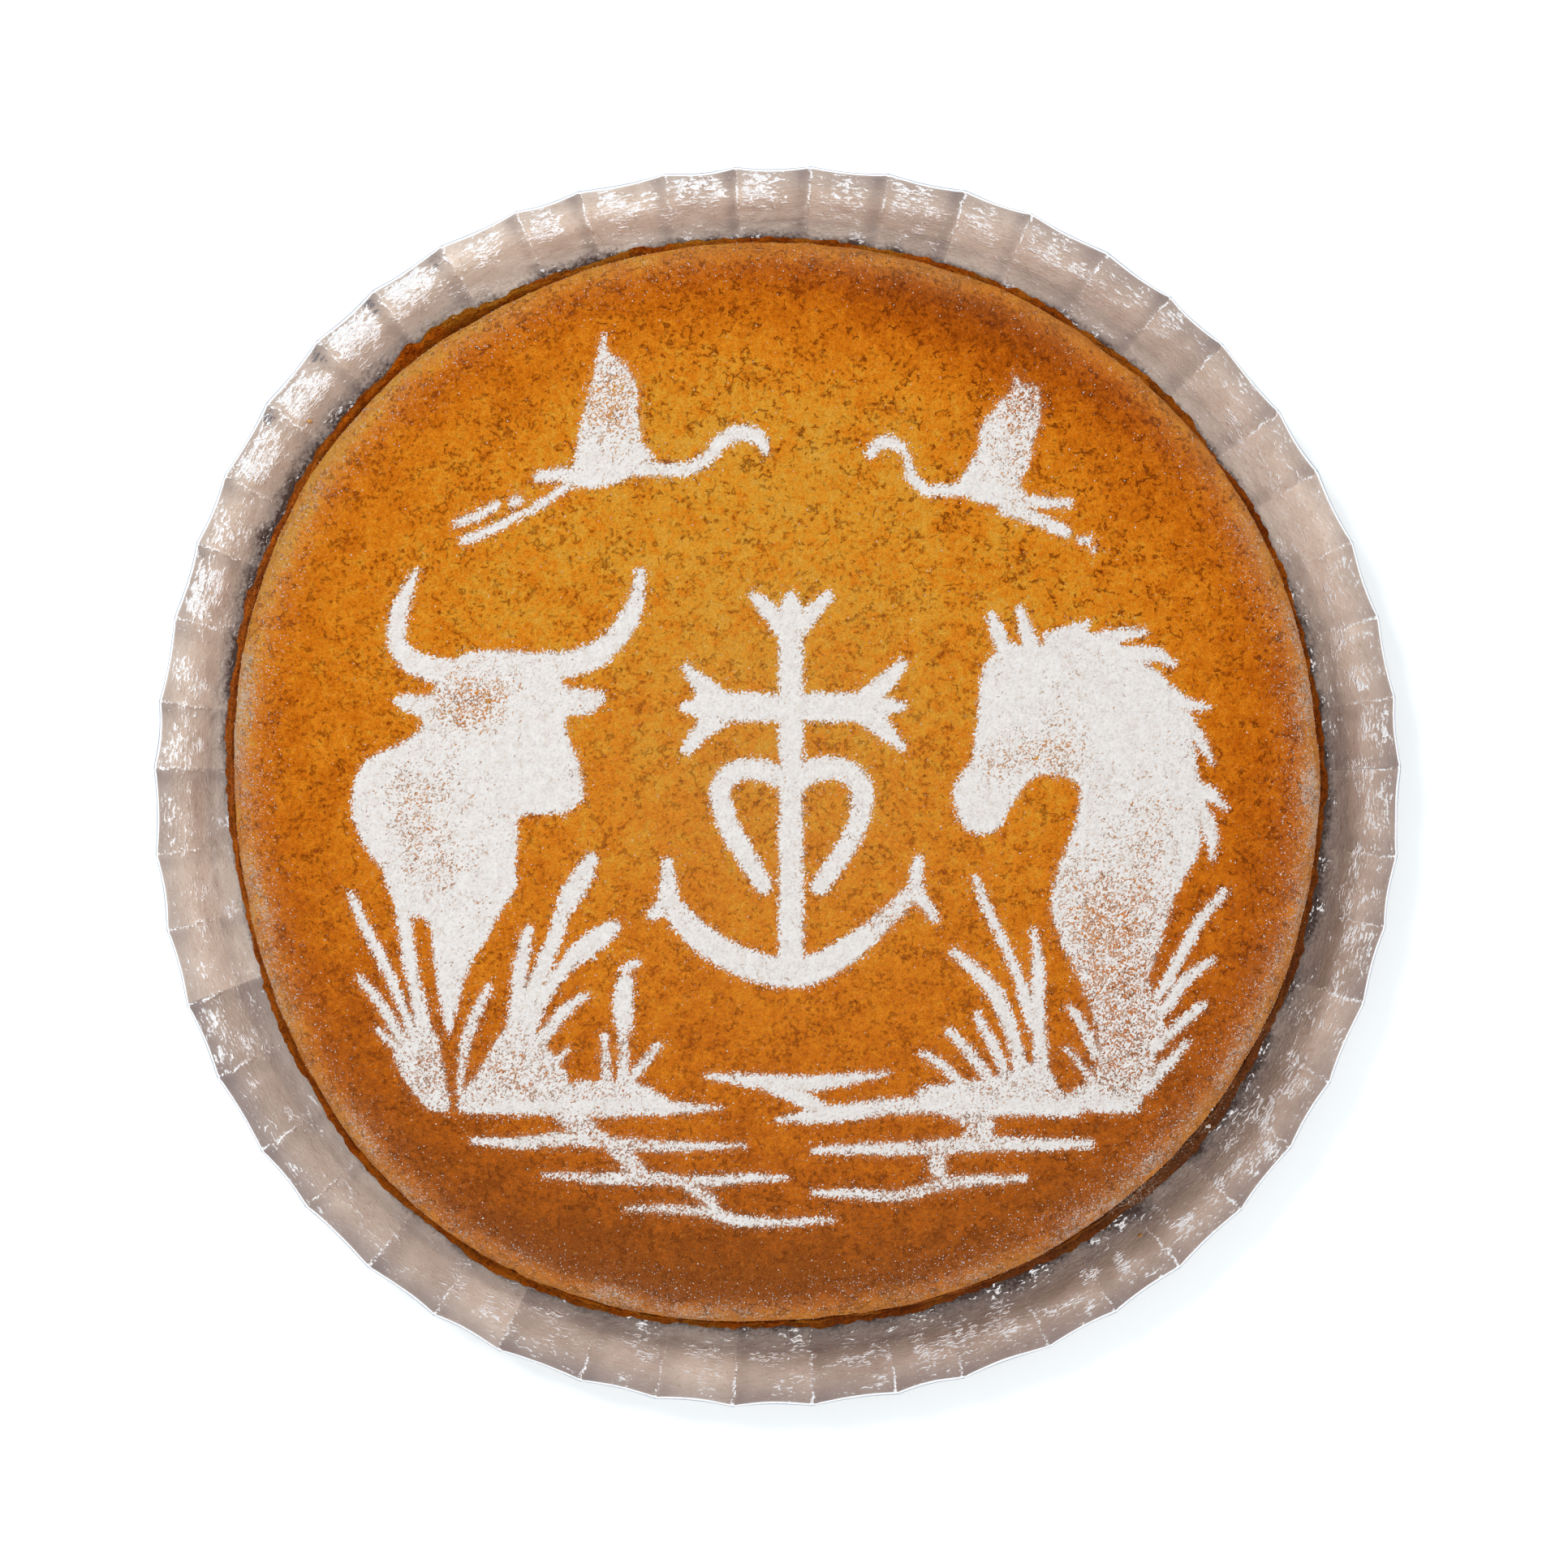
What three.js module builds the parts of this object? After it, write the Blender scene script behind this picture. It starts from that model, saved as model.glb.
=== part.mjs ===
import * as THREE from 'three';

// A round, shallow domed cake in its fluted case of foil-faced card.
// Millimetres, +Z up. The origin is under the middle of the case, at the height it stands on.

// The case
const CARD = 0.8; // thickness of the foil-faced card
const CASE_HEIGHT = 13; // from the underside to the rim
const CASE_RADIUS = 137.7; // mean radius of the rim, at the creases between the flutes
const WALL_RUN = 10.6; // how far the wall leans out on its way up
const WALL_BOW = 1.6; // how far the wall bows up, steeper at the floor and flatter at the rim
const FLUTES = 50;
const FLUTE_DIP = 0.75; // how far the middle of a flute lies inside its creases, at the rim
const COLUMNS_PER_FLUTE = 4;
const CREASE_SWING = 1.1; // degrees by which the creases drift round the case
const CREASE_JITTER = 0.35; // degrees by which single creases are off
const RIM_WAVE = 0.35; // how far the rim rises and falls

// The cake
const SEAT_GAP = 0.3; // clearance between the cake and the floor of the case
const CAKE_RADIUS = 119.1; // side of the cake
const CAKE_HEIGHT = 32; // from the underside to the top of the dome
const SHOULDER_HEIGHT = 12; // where the side ends and the dome starts
const FOOT_REACH = 4.2; // how far the crust at the foot stands out of the side
const FOOT_HEIGHT = 4.8;
const FOOT_WAVE = 0.7; // how uneven that crust is
const GROOVE_DEPTH = 0.6; // the line between the foot and the side
const DOME_POWER = 3; // how flat the middle of the dome is
const SHOULDER_POWER = 4; // how square the shoulder is
const DOME_STEPS = 10;
const CAKE_COLUMNS = 100;
const TOP_WAVE = 0.4; // how far the top rises and falls
const CAKE_SHIFT = new THREE.Vector2(-0.4, 0.6); // the cake lies a little off the middle

// Both outlines are a little out of round: each wave stands out by its depth towards its angle.
const CASE_WAVES = [
  { count: 2, depth: 0.35, towards: -21 },
  { count: 3, depth: 0.5, towards: 3 },
  { count: 4, depth: 1.1, towards: 46 },
  { count: 5, depth: 0.3, towards: -13 },
  { count: 6, depth: 0.3, towards: 12 },
];
const CAKE_WAVES = [
  { count: 2, depth: 0.35, towards: -12 },
  { count: 3, depth: 0.85, towards: 4 },
  { count: 4, depth: 1.05, towards: -39 },
  { count: 5, depth: 0.25, towards: 15 },
];

const DEGREE = Math.PI / 180;

// How far a set of waves stands out at an angle.
function bulge(waves, angle) {
  let sum = 0;
  for (const wave of waves) {
    sum += wave.depth * Math.cos(wave.count * (angle - wave.towards * DEGREE));
  }
  return sum;
}

// A turned body about +Z from a profile of [radius, height] points.
// shape(radius, height, angle, column) gives the final [radius, height, angle] of each point.
function turned(profile, columns, shape) {
  const points = profile.map(([radius, height]) => new THREE.Vector2(radius, height));
  const geometry = new THREE.LatheGeometry(points, columns);
  const position = geometry.getAttribute('position');
  for (let i = 0; i < position.count; i += 1) {
    const column = Math.floor(i / points.length) % columns;
    const point = points[i % points.length];
    const even = (column / columns) * 2 * Math.PI;
    const [radius, height, angle] = shape(point.x, point.y, even, column);
    position.setXYZ(i, radius * Math.cos(angle), radius * Math.sin(angle), height);
  }
  geometry.computeVertexNormals();
  return geometry;
}

// The creases drift slowly round the case, and single ones are off by a little more.
function creaseAngle(angle) {
  const swing = CREASE_SWING * Math.cos(angle);
  const jitter = CREASE_JITTER * (Math.sin(17 * angle + 1) + 0.7 * Math.sin(23 * angle + 2));
  return angle + (swing + jitter) * DEGREE;
}

function foilCase() {
  const wallLength = Math.hypot(WALL_RUN, CASE_HEIGHT - CARD);
  const edgeRun = (CARD * (CASE_HEIGHT - CARD)) / wallLength;
  const edgeDrop = (CARD * WALL_RUN) / wallLength;
  const rim = CASE_RADIUS - edgeRun;
  const floor = rim - WALL_RUN;
  const wall = (share) => {
    const bow = WALL_BOW * Math.sin(Math.PI * share);
    return [floor + WALL_RUN * share, CARD + (CASE_HEIGHT - CARD) * share + bow];
  };
  const outside = ([radius, height]) => [radius + edgeRun, height - edgeDrop];
  const profile = [
    [0, 0],
    [floor * 0.6, 0],
    [floor, 0],
    outside(wall(0.1)),
    outside(wall(0.35)),
    outside(wall(0.65)),
    outside(wall(1)),
    wall(1),
    wall(0.65),
    wall(0.35),
    wall(0.12),
    [floor - 0.8, CARD],
    [floor * 0.6, CARD],
    [0, CARD],
  ];
  return turned(profile, FLUTES * COLUMNS_PER_FLUTE, (radius, height, even, column) => {
    const angle = creaseAngle(even);
    const rise = THREE.MathUtils.clamp((radius - floor) / WALL_RUN, 0, 1);
    const across = (column % COLUMNS_PER_FLUTE) / COLUMNS_PER_FLUTE;
    const dip = FLUTE_DIP * Math.sin(Math.PI * across) * rise;
    const wave = RIM_WAVE * 0.5 * (Math.sin(5 * angle + 1) + Math.sin(11 * angle) - 1);
    const out = bulge(CASE_WAVES, angle) * (radius / CASE_RADIUS);
    return [radius + out - dip, height + wave * rise, angle];
  });
}

function cake() {
  const foot = CAKE_RADIUS + FOOT_REACH;
  const profile = [
    [0, 0],
    [CAKE_RADIUS * 0.6, 0],
    [CAKE_RADIUS - 1, 0],
    [foot - 0.9, FOOT_HEIGHT * 0.1],
    [foot, FOOT_HEIGHT * 0.4],
    [foot - 0.4, FOOT_HEIGHT * 0.7],
    [CAKE_RADIUS + 0.6, FOOT_HEIGHT * 0.9],
    [CAKE_RADIUS - GROOVE_DEPTH, FOOT_HEIGHT],
    [CAKE_RADIUS - GROOVE_DEPTH * 0.5, FOOT_HEIGHT + 3],
  ];
  for (let i = DOME_STEPS; i >= 0; i -= 1) {
    const share = 1 - (1 - i / DOME_STEPS) ** 2.6;
    const dome = (1 - share ** DOME_POWER) ** (1 / SHOULDER_POWER);
    profile.push([CAKE_RADIUS * share, SHOULDER_HEIGHT + (CAKE_HEIGHT - SHOULDER_HEIGHT) * dome]);
  }
  return turned(profile, CAKE_COLUMNS, (radius, height, angle) => {
    const share = radius / CAKE_RADIUS;
    const inFoot = THREE.MathUtils.clamp((radius - CAKE_RADIUS) / FOOT_REACH, 0, 1);
    const ragged = FOOT_WAVE * (Math.sin(9 * angle + 2) + 0.6 * Math.sin(23 * angle)) * inFoot;
    const lumps = Math.sin(3 * angle + 5 * share) * Math.sin(4 * share) * (height / CAKE_HEIGHT);
    const out = bulge(CAKE_WAVES, angle) * share;
    return [radius + out + ragged, height + TOP_WAVE * lumps, angle];
  });
}

function named(name, geometry, look) {
  const mesh = new THREE.Mesh(geometry, new THREE.MeshStandardMaterial(look));
  mesh.name = name;
  return mesh;
}

const caseMesh = named('foil_case', foilCase(), { color: 0xc4bab4, roughness: 0.35, metalness: 0.9 });
const cakeMesh = named('cake', cake(), { color: 0xc47a20, roughness: 0.75, metalness: 0 });
cakeMesh.position.set(CAKE_SHIFT.x, CAKE_SHIFT.y, CARD + SEAT_GAP);

// The case's box is centred on the origin.
caseMesh.geometry.computeBoundingBox();
const middle = caseMesh.geometry.boundingBox.getCenter(new THREE.Vector3());
const roundCake = new THREE.Group();
roundCake.add(caseMesh, cakeMesh);
roundCake.position.set(-middle.x, -middle.y, 0);

export default roundCake;
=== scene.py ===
import math
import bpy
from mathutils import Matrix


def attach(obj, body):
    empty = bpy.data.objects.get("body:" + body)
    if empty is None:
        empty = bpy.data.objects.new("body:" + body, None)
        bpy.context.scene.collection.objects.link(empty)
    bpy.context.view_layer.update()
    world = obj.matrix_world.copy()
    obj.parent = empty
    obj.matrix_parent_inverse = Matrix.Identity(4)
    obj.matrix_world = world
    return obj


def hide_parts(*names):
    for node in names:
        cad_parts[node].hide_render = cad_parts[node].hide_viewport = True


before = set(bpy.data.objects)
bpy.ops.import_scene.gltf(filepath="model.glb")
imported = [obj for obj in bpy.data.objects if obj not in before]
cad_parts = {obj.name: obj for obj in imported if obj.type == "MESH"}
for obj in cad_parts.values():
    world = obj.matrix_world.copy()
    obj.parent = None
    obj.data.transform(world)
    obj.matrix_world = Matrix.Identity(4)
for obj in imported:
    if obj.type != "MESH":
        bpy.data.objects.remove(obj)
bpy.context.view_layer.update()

from types import SimpleNamespace

import bmesh
import bpy
import numpy as np
from mathutils import Vector

# A round, shallow domed cake with a picture dusted on it in icing sugar, in its fluted foil-faced case.
# Shapes are worked out in millimetres, in the frame's own axes, and turned to metres when a mesh is made.

MM = 0.001
rng = np.random.default_rng(2411)

# The case, as in the frame
CARD = 0.8
CASE_HEIGHT = 13.0
CASE_RADIUS = 137.7
WALL_RUN = 10.6
WALL_BOW = 1.6
FLUTES = 50
FLUTE_DIP = 0.75
CREASE_SWING = 1.1
CREASE_JITTER = 0.35
RIM_WAVE = 0.35
CASE_WAVES = ((2, 0.35, -21), (3, 0.5, 3), (4, 1.1, 46), (5, 0.3, -13), (6, 0.3, 12))

# The cake, as in the frame
SEAT = CARD + 0.3  # the height it stands at
CAKE_RADIUS = 119.1
CAKE_HEIGHT = 32.0
SHOULDER_HEIGHT = 12.0
DOME_POWER = 3
SHOULDER_POWER = 4
TOP_WAVE = 0.4
CAKE_SHIFT = (-0.4, 0.6)
CAKE_WAVES = ((2, 0.35, -12), (3, 0.85, 4), (4, 1.05, -39), (5, 0.25, 15))

# How finely the meshes are made
CASE_COLUMNS = FLUTES * 24
CREASE_CROWD = 0.75  # how much closer the columns stand at a crease
WALL_ROWS = 44  # from the cake's foot up to the rim
OUTSIDE_ROWS = 14
FOIL_FROM = 120.5  # where the fine rows start, under the cake's foot
CORNER = 1.5  # how softly the floor turns into the wall
WRINKLE_STRETCH = 2.2  # how much longer the wrinkles run round the rim than down the wall
CRUST_CELLS = 280  # across the top
RING_STEP = 1.1  # how far apart the rings down the cake's side count as
SUGAR_PITCH = 0.27
FIGURE_MARGIN = 4.0  # how far from a figure its distance is worked out
CELL_CORNERS = (np.s_[:-1, :-1], np.s_[1:, :-1], np.s_[1:, 1:], np.s_[:-1, 1:])  # of every cell of a grid
LOOSE_GRAINS = 600  # anywhere on the top
SHOULDER_GRAINS = 14000


# ---------------------------------------------------------------- noise and small helpers

def lattice(ix, iy, iz, seed):
    """A random number from -1 to 1 for each corner of a lattice."""
    h = (ix * 73856093) ^ (iy * 19349663) ^ (iz * 83492791) ^ (seed * 40503)
    h = ((h ^ (h >> 13)) * 1274126177) & 0xFFFFFFFF
    h = ((h ^ (h >> 15)) * 2246822519) & 0xFFFFFFFF
    return ((h ^ (h >> 16)) & 0xFFFFFF) / 0x7FFFFF - 1.0


def noise(x, y, z, size, seed):
    """Smooth noise from -1 to 1 whose bumps are about size across."""
    x, y, z = np.broadcast_arrays(x, y, z)
    cells = [np.floor(v / size).astype(np.int64) for v in (x, y, z)]
    part = [v / size - c for v, c in zip((x, y, z), cells)]
    fade = [p * p * p * (p * (p * 6 - 15) + 10) for p in part]
    total = 0.0
    for dx in (0, 1):
        for dy in (0, 1):
            for dz in (0, 1):
                weight = 1.0
                for side, f in zip((dx, dy, dz), fade):
                    weight = weight * (f if side else 1 - f)
                total = total + weight * lattice(cells[0] + dx, cells[1] + dy, cells[2] + dz, seed)
    return total


def layers(x, y, z, size, seed, count=3, gain=0.5):
    """Noise with finer and fainter layers on top of it, from about -1 to 1."""
    total, strength, most = 0.0, 1.0, 0.0
    for i in range(count):
        total = total + strength * noise(x, y, z, size / 2 ** i, seed + 17 * i)
        most += strength
        strength *= gain
    return total / most


def step(low, high, value):
    """0 below low, 1 above high, and smooth between."""
    t = np.clip((value - low) / (high - low), 0, 1)
    return t * t * (3 - 2 * t)


def peak(value, middle, width):
    """1 at middle, falling to 0 some widths away."""
    return np.exp(-((value - middle) / width) ** 2)


def bulge(waves, angle):
    """How far an outline stands out at an angle: waves are (count, depth, angle in degrees)."""
    return sum(depth * np.cos(count * (angle - math.radians(towards))) for count, depth, towards in waves)


def near_angle(angle, towards, width):
    """1 at an angle in degrees, falling to 0 some widths away."""
    apart = (angle - math.radians(towards) + math.pi) % (2 * math.pi) - math.pi
    return peak(apart, 0, math.radians(width))


def lobes(angle, *peaks):
    """The sum of smooth peaks round the middle: each is (height, towards in degrees, width in degrees)."""
    return sum(height * near_angle(angle, towards, width) for height, towards, width in peaks)


def ring_faces(first, second):
    """Quads between two closed rings of point numbers of the same length, the second outside the first."""
    return np.stack([first, second, np.roll(second, -1), np.roll(first, -1)], axis=1)


def make_piece(name, points, faces, materials, smooth=True, values=None, chosen=None, plan=None):
    """A mesh piece that rides on the root body. points are in millimetres, faces a list of index arrays.

    values are numbers per point for the material, chosen is a material's number per face, and plan is a
    flat map per point.
    """
    mesh = bpy.data.meshes.new(name)
    sizes = np.concatenate([np.full(len(f), f.shape[1]) for f in faces])
    corners = np.concatenate([f.ravel() for f in faces]).astype(np.int32)
    mesh.vertices.add(len(points))
    mesh.vertices.foreach_set("co", (np.asarray(points) * MM).astype(np.float32).ravel())
    mesh.loops.add(len(corners))
    mesh.loops.foreach_set("vertex_index", corners)
    mesh.polygons.add(len(sizes))
    starts = np.concatenate([[0], np.cumsum(sizes)[:-1]]).astype(np.int32)
    mesh.polygons.foreach_set("loop_start", starts)
    mesh.polygons.foreach_set("use_smooth", np.full(len(sizes), smooth))
    for look in materials:
        mesh.materials.append(look)
    if chosen is not None:
        mesh.polygons.foreach_set("material_index", chosen.astype(np.int32))
    for key, data in (values or {}).items():
        kind, field = ("FLOAT", "value") if data.ndim == 1 else ("FLOAT_VECTOR", "vector")
        mesh.attributes.new(key, kind, "POINT").data.foreach_set(field, data.astype(np.float32).ravel())
    if plan is not None:
        flat = mesh.uv_layers.new(name="OFBake")
        flat.data.foreach_set("uv", plan[corners].astype(np.float32).ravel())
    mesh.update(calc_edges=True)
    mesh.validate()
    piece = bpy.data.objects.new(name, mesh)
    bpy.context.scene.collection.objects.link(piece)
    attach(piece, "root")
    return piece


# ---------------------------------------------------------------- materials

class Nodes:
    """Adds shader nodes to a tree, and gives back their outputs to be joined to others."""

    def __init__(self, tree):
        self.tree = tree

    def join(self, value, socket):
        """Links an output to a socket, or sets the socket to a plain value."""
        if isinstance(value, bpy.types.NodeSocket):
            self.tree.links.new(value, socket)
        else:
            socket.default_value = value

    def add(self, kind, inputs=None, output=0, **settings):
        made = self.tree.nodes.new(kind)
        for key, value in settings.items():
            setattr(made, key, value)
        for key, value in (inputs or {}).items():
            self.join(value, made.inputs[key])
        return made.outputs[output]

    def math(self, operation, a, b=0.0, clamp=False):
        return self.add("ShaderNodeMath", {0: a, 1: b}, operation=operation, use_clamp=clamp)

    def plus(self, a, b, clamp=False):
        return self.math("ADD", a, b, clamp)

    def times(self, a, b, clamp=False):
        return self.math("MULTIPLY", a, b, clamp)

    def weighed(self, first, *others):
        """The sum of parts (value, weight)."""
        total = self.times(*first)
        for part in others:
            total = self.plus(total, self.times(*part))
        return total

    def swayed(self, value, source, amount, clamp=False):
        """A value pushed up and down by a noise, whose own middle is 0.5."""
        return self.plus(value, self.times(self.math("SUBTRACT", source, 0.5), amount), clamp)

    def ranged(self, value, low, high, to_low=0.0, to_high=1.0):
        """Maps low..high to to_low..to_high smoothly, and holds outside."""
        inputs = {"Value": value, 1: low, 2: high, 3: to_low, 4: to_high}
        return self.add("ShaderNodeMapRange", inputs, interpolation_type="SMOOTHSTEP")

    def vector(self, operation, inputs):
        return self.add("ShaderNodeVectorMath", inputs, operation=operation)

    def blend(self, share, under, over):
        """Mixes two colours, from under at 0 to over at 1."""
        return self.add("ShaderNodeMix", {0: share, 6: under, 7: over}, 2, data_type="RGBA")

    def ramp(self, value, *stops):
        """Colours along a value: stops are (place, red, green, blue), in the numbers that shade takes."""
        colour = self.add("ShaderNodeValToRGB", {0: value})
        spots = colour.node.color_ramp.elements
        while len(spots) < len(stops):
            spots.new(0.5)
        for spot, (place, *seen) in zip(spots, stops):
            spot.position = place
            spot.color = shade(*seen)
        return colour


class Look(Nodes):
    """A material: one surface, and the nodes that colour it by the place on the piece."""

    def __init__(self, name):
        self.material = bpy.data.materials.new(name)
        self.material.use_nodes = True
        super().__init__(self.material.node_tree)
        self.tree.nodes.clear()
        surface = self.tree.nodes.new("ShaderNodeBsdfPrincipled")
        out = self.tree.nodes.new("ShaderNodeOutputMaterial")
        self.tree.links.new(surface.outputs[0], out.inputs[0])
        self.surface = surface.inputs
        self.where = self.add("ShaderNodeTexCoord", output=3)

    def mark(self, key, output=2):
        """A number, or with output 1 a vector, that the mesh holds per point."""
        return self.add("ShaderNodeAttribute", output=output, attribute_name=key)

    def noise(self, size, detail=2.0, rough=0.5, where=None, output=0):
        """size is that of the noise's features, in metres."""
        where = self.where if where is None else where
        inputs = {"Vector": where, "Scale": 1 / size, "Detail": detail, "Roughness": rough}
        return self.add("ShaderNodeTexNoise", inputs, output)

    def bump(self, strength, distance, height, **more):
        """Gives the surface a relief, distance in metres."""
        inputs = {"Strength": strength, "Distance": distance, "Height": height, **more}
        self.join(self.add("ShaderNodeBump", inputs), self.surface["Normal"])


def shade(red, green, blue):
    """A colour as seen on a screen, 0 to 255, in the light's own units."""
    seen = [v / 255 for v in (red, green, blue)]
    return tuple(v / 12.92 if v < 0.04 else ((v + 0.055) / 1.055) ** 2.4 for v in seen) + (1.0,)


def crust_look():
    """Baked crust: golden to brown with painted shade on the side, finely mottled, with ragged pores, short
    cracks, dust with a painted sheen on the shoulder, painted shade in the grooves and along the foot, and
    bare crumb.
    """
    look = Look("baked_crust")
    keys = ("browning_and_shade", "cracks", "dust", "haze_and_sheen", "crumb", "groove_shade")
    brown, cracked, dust, haze_and_sheen, crumb, groove_shade = (look.mark(key) for key in keys)
    wide = look.noise(0.011, 3.0, 0.55)
    middle = look.noise(0.0034, 5.0, 0.62)
    fine = look.noise(0.0012, 4.0, 0.65)
    tiny = look.noise(0.0005, 2.0, 0.6)

    # Browning, with painted shade on the side, mottled at four sizes
    for source, amount in ((wide, 0.42), (middle, 0.66), (fine, 0.85), (tiny, 0.45)):
        brown = look.swayed(brown, source, amount)
    brown = look.times(look.plus(brown, 0.24), 0.81)
    colour = look.ramp(
        brown, (0.0, 255, 188, 74), (0.18, 255, 173, 50), (0.32, 255, 151, 32), (0.49, 238, 129, 19),
        (0.68, 210, 103, 11), (1.0, 154, 67, 6),
    )

    # Small pale flecks
    flecks = look.ranged(look.noise(0.0009, 3.0, 0.7), 0.58, 0.76, 0.0, 0.45)
    colour = look.blend(flecks, colour, shade(246, 170, 76))

    # Pits: small ragged dark flecks, each in a redder spot
    pitted = look.swayed(look.noise(0.00095), look.noise(0.0055), 0.6)
    halo = look.ranged(pitted, 0.61, 0.74)
    pores = look.ranged(pitted, 0.72, 0.78)
    colour = look.blend(look.times(halo, 0.4), colour, shade(186, 82, 4))
    colour = look.blend(look.times(pores, 0.8), colour, shade(158, 62, 4))

    # Cracks: thin bent lines broken into short runs
    bent = look.math("SUBTRACT", look.noise(0.0038, 4.0, 0.55), 0.5)
    line = look.ranged(look.math("ABSOLUTE", bent), 0.004, 0.024, 1.0, 0.0)
    runs = look.ranged(look.noise(0.0024, 1.0), 0.55, 0.61)
    cracks = look.times(look.times(line, runs), cracked, clamp=True)
    colour = look.blend(look.times(cracks, 0.85), colour, shade(156, 66, 6))

    # The grooves and the foot darkened by painted shade, and bare crumb
    colour = look.blend(look.times(groove_shade, 0.85), colour, shade(86, 42, 18))
    colour = look.blend(crumb, colour, look.ramp(fine, (0.3, 170, 98, 20), (0.7, 216, 152, 50)))

    # Dust and a painted sheen: a pale haze, speckled where it lies thin, and closed where it lies thick
    cloudy = look.times(look.swayed(haze_and_sheen, tiny, 0.7, clamp=True), look.ranged(haze_and_sheen, 0.0, 0.1))
    colour = look.blend(look.times(cloudy, 0.5), colour, shade(228, 162, 84))
    colour = look.blend(look.times(dust, 0.3), colour, shade(216, 168, 122))
    mask = look.weighed((look.noise(0.00042, 2.0, 0.7), 0.75), (look.noise(0.0016, 2.0, 0.6), 0.25))
    powder = look.math("SUBTRACT", mask, look.ranged(dust, 0.0, 1.0, 0.72, 0.28))
    colour = look.blend(look.ranged(powder, -0.05, 0.06, 0.0, 0.8), colour, shade(234, 220, 206))

    look.join(colour, look.surface["Base Color"])
    look.join(look.ranged(middle, 0.3, 0.7, 0.7, 0.9), look.surface["Roughness"])
    look.surface["Specular IOR Level"].default_value = 0.04
    relief = look.weighed((middle, 0.9), (fine, 1.5), (tiny, 0.6), (halo, -0.6), (cracks, -0.9))
    look.bump(1.0, 0.0021, relief)
    return look.material


def foil_look():
    """Thin foil on card: beige panels, a painted reflection of the cake, made browner by painted shade where
    they are dull and darker by painted shade in places, shiny wrinkled patches with painted glints, creases
    lined with a painted highlight, and a band by the cake of smear and painted contact shadow.
    """
    look = Look("crinkled_foil")
    keys = ("smear_and_shade", "crease_highlight", "shine_and_glint", "marked", "dull", "tone")
    smear_and_shade, crease_highlight, shine_and_glint, marked, dull, tone = (look.mark(key) for key in keys)
    patches = look.noise(0.006, 4.0, 0.6)
    dents = look.noise(0.0009, 3.0, 0.65)
    twist = look.vector("SCALE", {0: look.noise(0.0022, output=1), "Scale": 0.0022})
    bent = look.vector("ADD", {0: look.mark("round_rim", output=1), 1: twist})
    folds = look.noise(0.0008, 2.0, 0.55, where=bent)

    # The panels: beige, a painted reflection of the cake; browner where they are dull, a painted reflection
    # of the shaded cake side; darkened by painted shade; mottled; and near the cake darkened by smear and a
    # painted contact shadow
    pale = look.ramp(patches, (0.32, 236, 221, 206), (0.68, 250, 238, 225))
    brownish = look.ramp(patches, (0.32, 184, 162, 148), (0.68, 208, 188, 174))
    # Dull panels browner: painted shade and a painted reflection of the cake's shaded side
    tint = look.blend(dull, pale, brownish)
    # Painted shade from the tone mark
    tint = look.blend(tone, tint, shade(118, 107, 108))
    tint = look.blend(look.ranged(dents, 0.54, 0.74, 0.0, 0.4), tint, shade(160, 132, 112))
    # Smear with a painted contact shadow: a dark band with a ragged edge by the cake's foot
    ragged = look.weighed((patches, 1.8), (dents, 2.0))
    dark = look.times(smear_and_shade, look.math("SUBTRACT", ragged, 0.9))
    tint = look.blend(look.ranged(dark, 0.15, 0.9, 0.0, 0.85), tint, shade(104, 90, 86))
    tint = look.blend(look.ranged(dark, 0.75, 1.1, 0.0, 0.85), tint, shade(66, 40, 28))

    # Painted glints: white streaks in the shiny patches; a painted highlight of white flecks along the
    # creases; and dark flecks
    uneven = look.weighed((folds, 0.6), (patches, 0.4))
    painted_gloss = look.ranged(look.swayed(shine_and_glint, uneven, 5.0), 0.6, 0.92)
    fleck_noise = look.noise(0.0005, 2.0, 0.6)
    # Painted highlight: white flecks along each crease
    lines = look.ranged(look.swayed(crease_highlight, fleck_noise, 3.2), 0.62, 0.85)
    bright = look.math("MAXIMUM", painted_gloss, lines)
    # Painted glints and highlight: the streaks and the crease lines turn white
    tint = look.blend(bright, tint, shade(253, 253, 255))
    # Dark grey flecks, most just past the creases and by the rim round the upper left
    dark_flecks = look.plus(look.noise(0.0007, 2.0, 0.6, where=bent), look.times(marked, 0.3))
    tint = look.blend(look.ranged(dark_flecks, 0.80, 0.84, 0.0, 0.8), tint, shade(98, 100, 108))
    look.join(tint, look.surface["Base Color"])
    look.join(look.ranged(bright, 0.0, 1.0, 0.12, 0.92), look.surface["Metallic"])
    look.join(look.ranged(bright, 0.0, 1.0, 0.5, 0.24), look.surface["Roughness"])

    # The shiny streaks lie flatter than the wall, so they catch the light from above
    crinkled = look.plus(look.weighed((shine_and_glint, 0.6), (dull, 0.7)), 0.1)
    relief = look.weighed((dents, 0.35), (folds, crinkled), (patches, 1.2))
    upward = look.vector("SCALE", {0: (0, 0, 1), "Scale": look.ranged(bright, 0.0, 1.0, 0.4, 1.5)})
    outward = look.add("ShaderNodeNewGeometry", output=1)
    leaning = look.vector("NORMALIZE", {0: look.vector("ADD", {0: outward, 1: upward})})
    look.bump(0.8, 0.0004, relief, Normal=leaning)
    return look.material


def card_look():
    """The bare cut edge of the card, grey where the foil turns over it."""
    look = Look("card_edge")
    fibres = look.noise(0.0006, 3.0, 0.6)
    colour = look.ramp(fibres, (0.3, 226, 228, 232), (0.7, 248, 249, 252))
    turned_over = look.ranged(look.mark("outer_edge"), 0.35, 0.8, 0.0, 0.9)
    look.join(look.blend(turned_over, colour, shade(128, 138, 158)), look.surface["Base Color"])
    look.surface["Roughness"].default_value = 0.8
    look.bump(0.4, 0.0001, fibres)
    return look.material


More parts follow.
